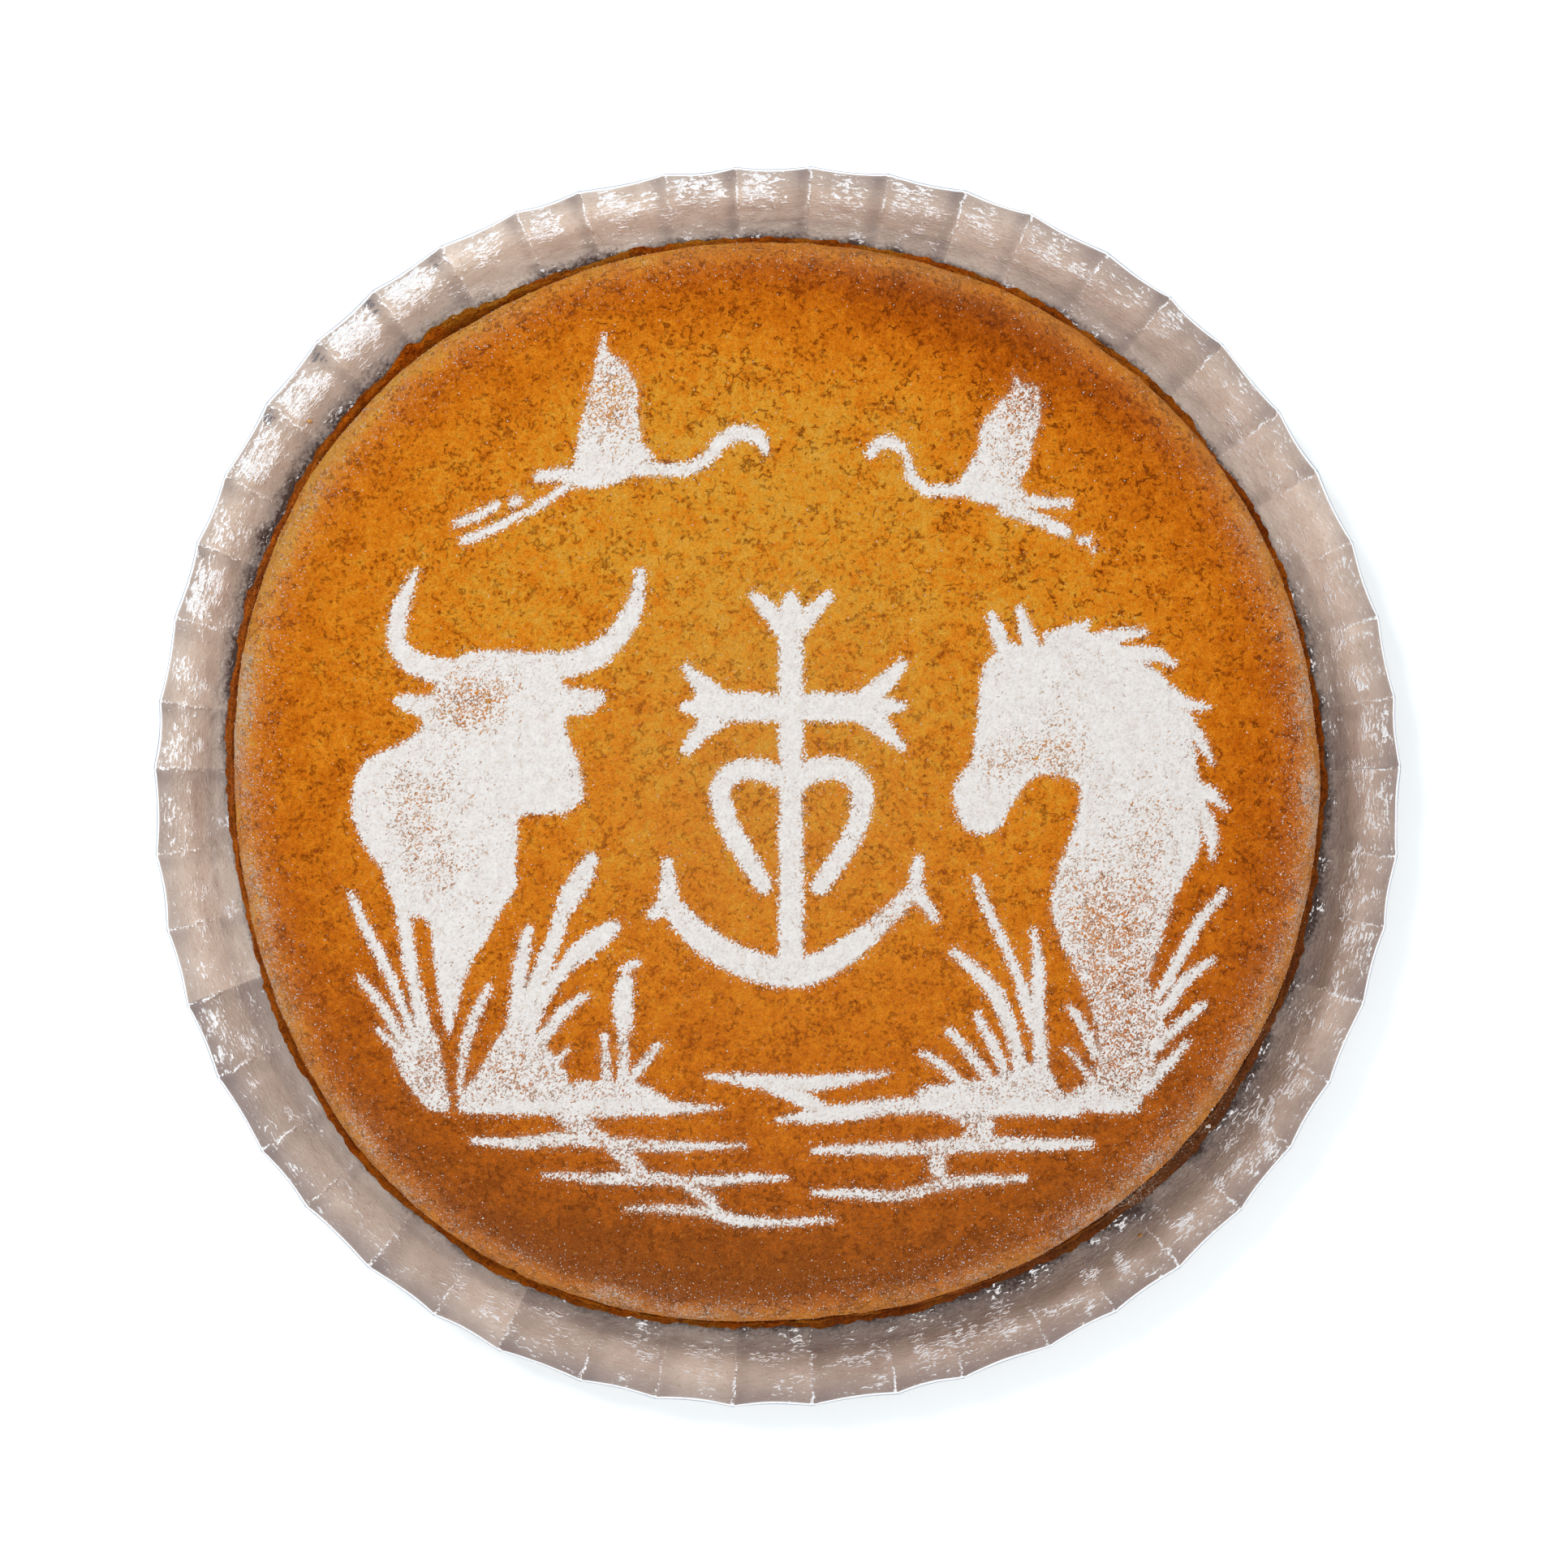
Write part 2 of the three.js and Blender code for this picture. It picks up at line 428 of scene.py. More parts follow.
def sugar_look():
    """Icing sugar: dull white powder, a little creamy where it lies thin."""
    look = Look("icing_sugar")
    grain = look.noise(0.0005, 2.0, 0.7)
    tone = look.weighed((look.noise(0.0022, 3.0, 0.7), 0.5), (grain, 0.5))
    colour = look.ramp(tone, (0.3, 200, 186, 175), (0.47, 215, 211, 208), (0.65, 222, 220, 218))
    look.join(colour, look.surface["Base Color"])
    look.surface["Roughness"].default_value = 0.95
    look.surface["Specular IOR Level"].default_value = 0.1
    look.bump(0.6, 0.0003, grain)
    return look.material


def crumb_look():
    """Loose crumbs: dry, pale yellow to brown."""
    look = Look("loose_crumb")
    tone = look.noise(0.0008, 3.0, 0.7)
    colour = look.ramp(tone, (0.35, 168, 108, 48), (0.65, 222, 178, 112))
    look.join(colour, look.surface["Base Color"])
    look.surface["Roughness"].default_value = 0.85
    look.bump(0.7, 0.0003, tone)
    return look.material


# ---------------------------------------------------------------- the case

def crease_angle(even):
    """The creases drift slowly round the case, and single ones are off by a little more."""
    jitter = CREASE_JITTER * (np.sin(17 * even + 1) + 0.7 * np.sin(23 * even + 2))
    return even + np.radians(CREASE_SWING * np.cos(even) + jitter)


def case_surface(radius, height, even, across, floor):
    """A point of the case: radius and height of the plain profile, turned to the fluted wall."""
    angle = crease_angle(even)
    rise = np.clip((radius - floor) / WALL_RUN, 0, 1)
    dip = FLUTE_DIP * np.sin(np.pi * across) * rise
    wave = RIM_WAVE * 0.5 * (np.sin(5 * angle + 1) + np.sin(11 * angle) - 1)
    out = bulge(CASE_WAVES, angle) * radius / CASE_RADIUS
    return radius + out - dip, height + wave * rise, angle, rise


def case_profile():
    """Points (radius, height) from under the middle, round the rim and back to the middle.

    Gives back the points, the floor's radius, and the number of the row where the card's cut edge starts.
    """
    length = math.hypot(WALL_RUN, CASE_HEIGHT - CARD)
    edge_run = CARD * (CASE_HEIGHT - CARD) / length
    edge_drop = CARD * WALL_RUN / length
    floor = CASE_RADIUS - edge_run - WALL_RUN
    wall = []
    for r in np.linspace(FOIL_FROM, CASE_RADIUS - edge_run, WALL_ROWS):
        # The corner is softened: share runs from 0 on the floor to 1 at the rim
        share = CORNER * math.log1p(math.exp((r - floor) / CORNER)) / WALL_RUN
        bow = WALL_BOW * math.sin(math.pi * min(share, 1))
        wall.append((r, CARD + (CASE_HEIGHT - CARD) * share + bow))
    outer = []
    for t in np.linspace(0.06, 1, OUTSIDE_ROWS):
        level = CARD + (CASE_HEIGHT - CARD) * t + WALL_BOW * math.sin(math.pi * t) - edge_drop
        outer.append((floor + WALL_RUN * t + edge_run, max(level, 0.02)))
    under = [(floor * t, 0.0) for t in (0.02, 0.5, 0.9, 0.985, 1)]
    inner_floor = [(FOIL_FROM * t, CARD) for t in (0.995, 0.97, 0.9, 0.5, 0.02)]
    middle_edge = [((outer[-1][0] + wall[-1][0]) / 2, (outer[-1][1] + wall[-1][1]) / 2 + 0.05)]
    rows = under + outer + middle_edge + wall[::-1] + inner_floor
    return np.array(rows), floor, len(under) + len(outer) - 1


def foil_relief(at):
    """How far the foil stands in from the plain wall, and how far it is crumpled where the floor ends.

    Panels pillow out beside their creases, and the creases stand up a little.
    """
    pillow = (0.12 + 0.1 * at.own) * at.bright_side * at.place
    lift = pillow * np.sin(np.pi * np.clip((at.rise - 0.25) / 0.72, 0, 1))
    wrinkle = 0.2 * noise(at.x / 1.3, at.y / 1.3, at.down, 6.5, 6)
    wrinkle = wrinkle + 0.05 * layers(at.x / 2, at.y / 2, at.down, 1.6, 5, 2, 0.6)
    jag = 1 + 0.5 * noise(at.x, at.y, at.down, 1.8, 7)
    crease = (0.24 * peak(at.line, 0, 0.32) - 0.16 * peak(at.line, 0.8, 0.45)) * jag
    crumple = 0.35 * layers(at.x, at.y, at.down, 2.6, 8, 2, 0.7) * peak(at.radius, at.floor - 1.5, 3.2)
    return (wrinkle + crease + lift) * np.clip(at.rise * 3, 0, 1), crumple


def foil_marks(at, wall_radius):
    """Per point of the foil: smear with a painted contact shadow by the cake, a painted highlight along the
    creases, shine with painted glints, dark flecks, the dull side's painted shade, and painted shade that
    darkens it.
    """
    angle, rise, across, own = at.angle, at.rise, at.across, at.own
    # The smear and its painted contact shadow reach furthest round the lower right, away from the lamp, and
    # round the upper left
    reach = 1.2 + lobes(angle, (1.3, 145, 45), (2.2, -45, 45), (0.2, 60, 60), (0.5, 250, 40))
    foot = CAKE_RADIUS + 2.8 + bulge(CAKE_WAVES, angle)  # where the smear and the painted contact shadow by the cake's foot start
    foot = foot + CAKE_SHIFT[0] * np.cos(angle) + CAKE_SHIFT[1] * np.sin(angle)
    foot = foot + lobes(angle, (1.6, 145, 30), (-1.0, 200, 30), (1.2, -45, 45))
    smear_and_shade = np.exp(-np.maximum(wall_radius - foot, 0) / reach)
    smear_and_shade = smear_and_shade * (1.1 + 0.5 * noise(at.x, at.y, at.down, 5.0, 10))
    # Painted highlight along each crease, broken up, and fainter down by the floor
    crease_highlight = peak(at.line, 0, 0.42) * (0.75 + 0.5 * noise(at.x, at.y, at.down, 3.0, 11))
    crease_highlight = crease_highlight * np.clip(rise * 2 + 0.3, 0, 1)
    # Shine with painted glints: white-streaked patches on the outer half of the wall, most round the upper
    # left
    outer_half = step(0.12, 0.5, rise) * (1 - 0.6 * step(0.85, 1.0, rise))
    shine_and_glint = (0.05 + 0.95 * at.bright_side) * at.place * outer_half * (0.85 + 0.4 * own)
    # Painted glints: white streaks scattered half way up the wall, most round the lower right
    painted_glints = step(-0.25, 0.4, noise(at.x, at.y, at.down, 5.0, 12)) * peak(rise, 0.36, 0.42)
    shine_and_glint = np.maximum(shine_and_glint, (0.56 + 0.26 * near_angle(angle, -48, 50)) * painted_glints)
    # Where the dark flecks gather: just past each crease high on the wall and by the rim, round the upper
    # left and the top
    marked = peak(across, 0.15, 0.13) * step(0.4, 0.9, rise)
    marked = marked * lobes(angle, (1, 140, 30), (0.4, 95, 30)) * (0.8 + 0.5 * own)
    marked = np.maximum(marked, 1.2 * peak(rise, 0.985, 0.02) * near_angle(angle, 140, 60))
    # The dull side, browner round the lower right and a little round the left and the upper right: painted
    # shade and a painted reflection of the shaded cake side; it is more crinkled there too
    dull = lobes(angle, (1, -45, 75), (0.45, 190, 50), (0.45, 65, 45)) * (1 + 0.25 * own)
    # Painted shade: darker towards the rim, on the floor, just past each crease, round the bottom, and less
    # round the upper left; each panel also differs at random
    tone = 0.5 * step(0.4, 1.0, rise) + 0.25 * (1 - step(0, 0.15, rise)) + 0.14 * own
    tone = tone + 0.1 * noise(at.x, at.y, at.down, 9.0, 14) + lobes(angle, (0.28, 240, 45), (-0.12, 140, 30))
    tone = tone + 0.34 * peak(across, 0.1, 0.12) * (0.35 + 0.65 * near_angle(angle, 105, 80))
    return {
        "smear_and_shade": smear_and_shade * at.past_edge,
        "crease_highlight": crease_highlight,
        "shine_and_glint": shine_and_glint * at.inside,
        "dull": np.clip(dull, 0, 1),
        "marked": marked * at.inside,
        "tone": np.clip(tone, 0, 1) * at.inside,
    }


def make_case(foil, card):
    """The case, as one closed mesh. Gives back its shift to the middle, and its floor's radius."""
    rows, floor, edge_from = case_profile()
    per_flute = CASE_COLUMNS // FLUTES
    across = (np.arange(CASE_COLUMNS) % per_flute) / per_flute
    across = across - CREASE_CROWD * np.sin(2 * np.pi * across) / (2 * np.pi)
    even = (np.arange(CASE_COLUMNS) // per_flute + across) / FLUTES * 2 * np.pi
    radius, height, angle, rise = case_surface(rows[:, :1], rows[:, 1:], even, across, floor)
    angle = np.broadcast_to(angle, radius.shape)

    # What the foil's relief and marks depend on: own is a number for each panel, and line is how far to
    # either side of a crease a place lies
    at = SimpleNamespace(radius=radius, angle=angle, rise=rise, across=across, floor=floor)
    at.x, at.y, at.down = CASE_RADIUS * np.cos(angle), CASE_RADIUS * np.sin(angle), radius + height
    at.own = noise(np.floor(even / (2 * np.pi) * FLUTES + 1e-6) * 3.7, 0.0, 0.0, 1.0, 3)
    at.past_edge = (np.arange(len(rows)) > edge_from)[:, None]
    at.inside = at.past_edge * step(FOIL_FROM - 3, FOIL_FROM + 1, rows[:, :1])
    at.bright_side = 0.25 + lobes(angle, (0.75, 140, 42), (0.45, 95, 30), (0.3, 0, 50))
    at.place = step(0.1, 0.5, across + 0.12 * at.own + 0.12 * noise(at.x, at.y, at.down, 4.0, 13))
    at.place = at.place * (1 - step(0.86, 1.0, across))
    from_crease = np.minimum(across, 1 - across) * 2 * np.pi * CASE_RADIUS / FLUTES
    at.line = np.where(across > 0.5, -from_crease, from_crease)
    at.line = at.line + 0.5 * noise(9 * np.cos(even), 9 * np.sin(even), at.down, 2.6, 9)

    push, crumple = foil_relief(at)
    radius = radius - push * 0.65 * at.inside
    height = height + (crumple + push * 0.75) * at.inside
    height[0:5] = 0.0
    height = np.maximum(height, 0.0)

    x, y = radius * np.cos(angle), radius * np.sin(angle)
    shift = np.array([-(x.max() + x.min()) / 2, -(y.max() + y.min()) / 2])
    points = np.stack([x + shift[0], y + shift[1], height], axis=-1).reshape(-1, 3)
    points = np.concatenate([points, [[*shift, 0.0], [*shift, CARD]]])
    low, high = len(points) - 2, len(points) - 1
    numbers = np.arange(low).reshape(len(rows), CASE_COLUMNS)
    quads = np.concatenate([ring_faces(numbers[i], numbers[i + 1]) for i in range(len(rows) - 1)])
    under = np.stack([np.full(CASE_COLUMNS, low), numbers[0], np.roll(numbers[0], -1)], axis=1)
    over = np.stack([np.full(CASE_COLUMNS, high), np.roll(numbers[-1], -1), numbers[-1]], axis=1)
    band = np.repeat(np.arange(len(rows) - 1), CASE_COLUMNS)
    is_edge = (band >= edge_from) & (band < edge_from + 2)
    chosen = np.concatenate([is_edge, np.zeros(2 * CASE_COLUMNS)])

    marks = foil_marks(at, radius)
    marks["outer_edge"] = (np.arange(len(rows)) == edge_from)[:, None] + 0 * radius
    values = {key: np.append(mark, (0, 0)) for key, mark in marks.items()}
    round_rim = np.stack([CASE_RADIUS * angle / WRINKLE_STRETCH, at.down, 0 * at.down], axis=-1) * MM
    values["round_rim"] = np.concatenate([round_rim.reshape(-1, 3), np.zeros((2, 3))])
    faces = [quads[:, ::-1], under[:, ::-1], over[:, ::-1]]
    looks = [foil, card]
    piece = make_piece("foil_case_fluted", points, faces, looks, values=values, chosen=chosen)
    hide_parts("foil_case")
    return shift, floor


# ---------------------------------------------------------------- the cake

def dome(share):
    """Height of the plain dome over the cake's underside, at a share of its radius."""
    curve = (1 - np.clip(share, 0, 1) ** DOME_POWER) ** (1 / SHOULDER_POWER)
    return SHOULDER_HEIGHT + (CAKE_HEIGHT - SHOULDER_HEIGHT) * curve


def uneven_dome(share, angle):
    """The dome with its broad lumps."""
    height = dome(share)
    lumps = TOP_WAVE * np.sin(3 * angle + 5 * share) * np.sin(4 * share) * height / CAKE_HEIGHT
    return height + lumps


def crust_relief(x, y, z):
    """How far the crust stands out of its plain shape."""
    soft = 0.30 * noise(x, y, z, 15.0, 31) + 0.16 * noise(x, y, z, 6.0, 32)
    close = 0.10 * layers(x, y, z, 2.6, 33, 2)
    pits = 0.30 * step(0.5, 0.9, noise(x, y, z, 2.4, 35))
    return soft + close - pits


def top_height(x, y, middle):
    """Height of the crust's top at a place."""
    dx, dy = x - middle[0], y - middle[1]
    angle = np.arctan2(dy, dx)
    share = np.hypot(dx, dy) / (CAKE_RADIUS + bulge(CAKE_WAVES, angle))
    height = SEAT + uneven_dome(share, angle)
    return height + crust_relief(x, y, height)


def square_to_disc(cells):
    """A square grid of points laid over a disc, as distance and angle, and its border in order of angle."""
    a, b = np.meshgrid(np.linspace(-1, 1, cells + 1), np.linspace(-1, 1, cells + 1), indexing="ij")
    wide = np.abs(a) > np.abs(b)
    far = np.where(wide, a, b)
    with np.errstate(divide="ignore", invalid="ignore"):
        turn = np.where(wide, np.pi / 4 * b / a, np.pi / 2 - np.pi / 4 * a / b)
    turn = np.nan_to_num(turn)
    angle = np.arctan2(far * np.sin(turn), far * np.cos(turn))
    numbers = np.arange((cells + 1) ** 2).reshape(cells + 1, cells + 1)
    border = np.concatenate([numbers[-1, :-1], numbers[:0:-1, -1], numbers[0, :0:-1], numbers[:-1, 0]])
    quads = np.stack([numbers[corner] for corner in CELL_CORNERS], axis=-1)
    return np.abs(far).ravel(), angle.ravel(), border, quads.reshape(-1, 4)


# Rings down the side and the foot of the cake: how far each stands out of the side, its height, and how
# much the upper and the lower lip of crust push it out
SIDE_RINGS = (
    (0.0, 10.6, 0, 0), (0.0, 9.4, 0, 0), (-0.1, 8.2, 0, 0), (-0.2, 7.0, 0, 0), (0.0, 6.0, 0.1, 0),
    (0.5, 5.9, 0.35, 0), (0.6, 6.8, 0.6, 0), (0.6, 6.3, 1.0, 0), (0.3, 5.0, 0.95, 0.1), (0.0, 4.3, 0.6, 0.3),
    (0.2, 3.7, 0.4, 0.75), (0.4, 3.0, 0.3, 1.0), (0.5, 2.1, 0.2, 1.0), (0.3, 1.1, 0, 0.9), (0.0, 0.3, 0, 0.6),
    (-2.0, 0.0, 0, 0), (-40.0, 0.0, 0, 0),
)


def side_rings(turn):
    """Radius and height of each ring down the side, at the angles given."""
    x, y = CAKE_RADIUS * np.cos(turn), CAKE_RADIUS * np.sin(turn)
    ragged = layers(x, y, 0.0, 9.0, 41, 4, 0.7)
    flake = near_angle(turn, 127, 12) * np.clip(0.9 + 1.1 * ragged, 0.2, 1.8)
    upper = np.clip(0.7 + 0.8 * ragged, 0.1, 1.7) + 1.7 * flake
    upper = upper + lobes(turn, (0.8, -95, 30), (1.3, 160, 34), (0.5, -42, 24))
    lower = 2.4 * np.clip(0.9 + 0.6 * layers(x, y, 9.0, 12.0, 42, 4, 0.65), 0.3, 1.5)
    lower = lower + lobes(turn, (1.1, -48, 34), (1.0, 240, 16), (0.7, 122, 14), (0.4, 165, 30))
    out, level, in_upper, in_lower = np.array(SIDE_RINGS).T[:, :, None]
    radius = CAKE_RADIUS + bulge(CAKE_WAVES, turn) + out + upper * in_upper + lower * in_lower
    return radius, level + 2.2 * flake * in_upper * (level > 5)


def crust_marks(points, share, angle, rows_down):
    """How browned (with painted shade on the side), cracked, dusty, hazy with a painted sheen, crumbly and
    darkened by painted shade in its grooves each point of the crust is.
    """
    x, y, z = points.T
    side = step(0.93, 1.0, share)
    south = np.clip((50 - y) / 158, 0, 1.1) ** 1.6
    broad = np.clip(share * CAKE_RADIUS / 95, 0, 1.1) ** 1.5 * (1 - near_angle(angle, 95, 35))
    ring = np.clip((share * CAKE_RADIUS - 80) / 28, 0, 1.15) ** 1.5
    weight = 0.1 + lobes(angle, (0.52, 86, 42), (0.25, 62, 16), (0.15, 15, 30), (0.3, 250, 38))
    # The top is darker towards the front and towards its edge
    on_top = 0.58 * south + 0.16 * broad + 0.85 * weight * ring
    on_top = on_top + 0.12 * near_angle(angle, -28, 36) * step(0.6, 0.8, share)
    # The side: browning with painted shade, darker round the lower right, away from the lamp, and paler near
    # its top round the upper left, towards it
    on_side = 0.34 + 0.16 * near_angle(angle, -45, 35) + 0.42 * step(4, 7, rows_down)
    on_side = on_side - 0.42 * near_angle(angle, 145, 42) * (1 - step(2, 6, rows_down))
    browning_and_shade = on_top * (1 - side) + (on_side + 0.25 * noise(x, y, z, 3.0, 51)) * side

    # Painted shade: dark in the two grooves down the side and where the foot meets the foil, and more round
    # the lower right, away from the lamp
    groove_shade = peak(rows_down, 5.2, 1.1) + peak(rows_down, 10.0, 0.9) + 0.8 * step(11.5, 14, rows_down)
    groove_shade = groove_shade * (0.9 + 0.5 * noise(x, y, z, 4.0, 55))
    groove_shade = groove_shade + 0.6 * near_angle(angle, -42, 36) * step(4, 7, rows_down)
    crumb = peak(rows_down, 7.6, 1.3) + peak(rows_down, 12.2, 1.4)
    crumb = crumb * step(-0.5, 0.3, noise(x, y, z, 5.0, 52))
    crumb = crumb * (0.12 + lobes(angle, (1, 80, 32), (0.7, 122, 16), (0.5, -95, 30)))
    cracked = 0.5 + 0.5 * near_angle(angle, 50, 75) * step(0.35, 0.7, share)
    cracked = cracked + 0.5 * south * step(0.5, 0.9, share)

    shoulder = peak(share, 0.98, 0.046) * (1 - step(3, 6, rows_down))
    shoulder = shoulder * (0.26 + lobes(
        angle, (0.25, -38, 44), (0.1, 150, 45), (0.15, 15, 25), (0.14, 190, 40), (0.16, 240, 40)))
    below = lobes(angle, (0.42, -42, 28), (0.3, 172, 24)) * step(1, 4, rows_down)
    dust = (shoulder + below) * (0.8 + 0.4 * noise(x, y, z, 9.0, 53))
    # The haze: a painted sheen with dust round the shoulder, dust over the middle, and paler over the top
    # towards the front
    haze_and_sheen = peak(share, 0.992, 0.03) * (rows_down < 4.5) * (0.8 + 0.4 * noise(x, y, z, 12.0, 54))
    haze_and_sheen = haze_and_sheen * (1 - 0.2 * near_angle(angle, 265, 35)) + 0.52 * peak(share, 0, 0.3)
    haze_and_sheen = haze_and_sheen + 0.3 * np.clip(south, 0, 1) * step(1, 0.9, share)
    pictured = share < 0.95
    dust[pictured] = np.maximum(dust[pictured], picture_dust(x[pictured], y[pictured]))
    return {
        "browning_and_shade": np.clip(browning_and_shade, 0, 1.2),
        "cracks": np.clip(cracked, 0, 1),
        "dust": np.clip(dust, 0, 1),
        "haze_and_sheen": np.clip(haze_and_sheen, 0, 1),
        "crumb": np.clip(crumb, 0, 1) * 0.85,
        "groove_shade": np.clip(groove_shade, 0, 1),
    }


def make_cake(look, middle):
    """The whole cake, as one closed mesh: a grid over the dome, rings down the side, and the underside."""
    far, angle, border, quads = square_to_disc(CRUST_CELLS)

    # The dome, with its rows evenly spaced along the curve
    share_line = 1 - (1 - np.linspace(0, 1, 2000)) ** 3
    curve = np.stack([share_line * CAKE_RADIUS, dome(share_line)])
    length = np.concatenate([[0], np.cumsum(np.hypot(*np.diff(curve, axis=1)))])
    along = far * length[-1]
    share = np.interp(along, length, share_line)
    radius = share * (CAKE_RADIUS + bulge(CAKE_WAVES, angle))
    height = uneven_dome(share, angle)

    # The side and the foot
    count, ring_count = len(border), len(SIDE_RINGS)
    ring_radius, ring_height = side_rings(angle[border])
    ring_along = length[-1] + RING_STEP * np.arange(1, ring_count + 1)
    radius = np.append(radius, ring_radius)
    height = np.append(height, ring_height)
    along = np.append(along, np.repeat(ring_along, count))
    share = np.append(share, np.ones(count * ring_count))
    angle = np.append(angle, np.tile(angle[border], ring_count))

    # Relief, upward on the top and outward on the side
    x, y = radius * np.cos(angle) + middle[0], radius * np.sin(angle) + middle[1]
    z = SEAT + height
    steep = step(0.9, 1.0, share)
    rows_down = np.maximum(along - length[-1], 0) / RING_STEP
    on_foot = step(3.5, 6.5, rows_down)
    crumbly = 0.35 * layers(x, y, z * 1.5, 2.4, 45, 3, 0.7) + 0.3 * noise(x, y, z * 2, 1.2, 46)
    push = (crust_relief(x, y, z) * (1 - on_foot) + crumbly * on_foot) * (height > 0.05)
    radius = radius + push * steep
    z = z + push * (1 - steep) + 0.35 * noise(x, y, 0.0, 7.0, 47) * on_foot * step(0.2, 2.0, height)
    x, y = radius * np.cos(angle) + middle[0], radius * np.sin(angle) + middle[1]
    points = np.stack([x, y, np.maximum(z, SEAT)], axis=1)

    first = (CRUST_CELLS + 1) ** 2
    rings = [border] + [np.arange(first + i * count, first + (i + 1) * count) for i in range(ring_count)]
    bands = [ring_faces(rings[i + 1], rings[i])[:, ::-1] for i in range(ring_count)]
    points = np.concatenate([points, [[*middle, SEAT]]])
    under = np.stack([np.full(count, len(points) - 1), np.roll(rings[-1], -1), rings[-1]], axis=1)
    faces = [quads] + bands + [under]
    angle = np.append(angle, 0)
    marks = crust_marks(points, np.append(share, 0), angle, np.append(rows_down, 20))

    # A flat map: the top and side as one disc, and the underside small in a corner
    disc = 0.5 * np.append(along, 0) / (length[-1] + RING_STEP * (ring_count - 1))
    plan = np.stack([0.5 + disc * np.cos(angle), 0.5 + disc * np.sin(angle)], axis=1)
    small = np.arange(len(points)) >= first + (ring_count - 2) * count
    corner = 0.085 + (points[:, :2] - middle) / CAKE_RADIUS * 0.08
    plan[small] = corner[small]
    piece = make_piece("cake_crust", points, faces, [look], values=marks, plan=plan)
    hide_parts("cake")


# ---------------------------------------------------------------- the sugar picture

# Each figure is made of closed outlines of (x, y) and of strokes of (x, y, half width), in millimetres from
# the middle of the frame. thin lists places (x, y, reach, how thin) where less sugar fell.
BULL = {
    "outlines": [[
        (-69.5, 27.5), (-65.5, 29), (-59, 29.5), (-52.5, 29), (-46, 28.5), (-44.5, 25), (-46, 22),
        (-41, 21), (-37, 20), (-37.5, 17.5), (-41, 15.5), (-45, 14.5), (-44.5, 10), (-42.5, 5.5),
        (-41.5, 1), (-42, -3), (-45, -5.5), (-50, -6), (-55, -6.5), (-55.5, -12), (-56, -17.5), (-56, -22),
        (-59, -26.5), (-61.5, -31.5), (-66, -39), (-68, -45.5), (-70.5, -53.5), (-72, -49), (-74, -37),
        (-75, -29), (-79.5, -27.5), (-83, -23.5), (-85.5, -17.5), (-88.5, -13), (-91, -7), (-91.5, -1.5),
        (-90.5, 2.5), (-87.5, 6.5), (-81.5, 9), (-76.5, 13), (-78, 15.5), (-81, 16.5), (-82, 19),
        (-79.5, 20), (-74, 20.5), (-73.5, 24),
    ]],
    "strokes": [
        [(-71, 24.5, 3), (-78, 26.5, 2.6), (-81.5, 30.5, 2.2), (-81.5, 36, 2), (-80, 41, 1.7),
         (-77.5, 46.5, 0.7)],
        [(-52, 25, 3.2), (-42, 27, 2.9), (-36, 30.5, 2.6), (-32, 35.5, 2.3), (-30, 41, 1.8),
         (-29.5, 46, 1.1)],
    ],
    "thin": [(-68, 17, 9, 0.55), (-79, -3, 8, 0.5), (-73, -15, 9, 0.45), (-60, 20, 8, 0.3)],
}
HORSE = {
    "outlines": [[
        (44.5, 26.5), (49.5, 30.5), (56.5, 30.5), (59, 33.5), (64.5, 34), (69.5, 32.5), (75, 29), (81, 25),
        (86.5, 18), (89.5, 12), (90.5, 3.5), (92, -1), (91.5, -7.5), (91, -13.5), (86.5, -22),
        (84.5, -27.5), (82.5, -35), (80.5, -42), (83.5, -49.5), (82.5, -57.5), (79.5, -67), (75.5, -70),
        (66, -69.5), (67.5, -62.5), (68.5, -54), (64.5, -42), (60, -32), (58.5, -26), (60, -17.5),
        (63, -10.5), (64.5, -4.5), (64, 0.5), (59, 2), (54.5, 1.5), (50, -4.5), (47, -9.5), (41, -9.5),
        (38, -4.5), (38, 0.5), (41.5, 6.5), (43, 16.5), (43.5, 22.5),
    ]],
    "strokes": [
        [(48.5, 30, 2), (46, 36.5, 1.1)],
        [(54.5, 30, 2.2), (52, 38, 1)],
        [(59, 31.5, 2), (66.5, 35, 0.8)],
        [(68, 31, 2.2), (74.5, 32.5, 1.5), (79, 33.5, 0.7)],
        [(73.5, 28, 2.2), (80.5, 28.5, 1.6), (85, 26.5, 0.7)],
        [(79.5, 23.5, 2.5), (86, 18.5, 1.8), (92.5, 17, 0.6)],
        [(86.5, 14.5, 2.5), (90.5, 10.5, 1.6), (93.5, 5.5, 0.7)],
        [(88.5, 0.5, 2), (93.5, -2, 1.5), (96.5, -4.5, 0.6)],
        [(91, -5, 2), (93.5, -10, 1.5), (93.5, -15, 0.7)],
    ],
    "thin": [
        (60, 7, 8, 0.5), (47, 4, 6, 0.5), (71, -29, 13, 0.75), (74, -46, 12, 0.7), (75, -62, 12, 0.6),
        (78, -8, 10, 0.3),
    ],
}
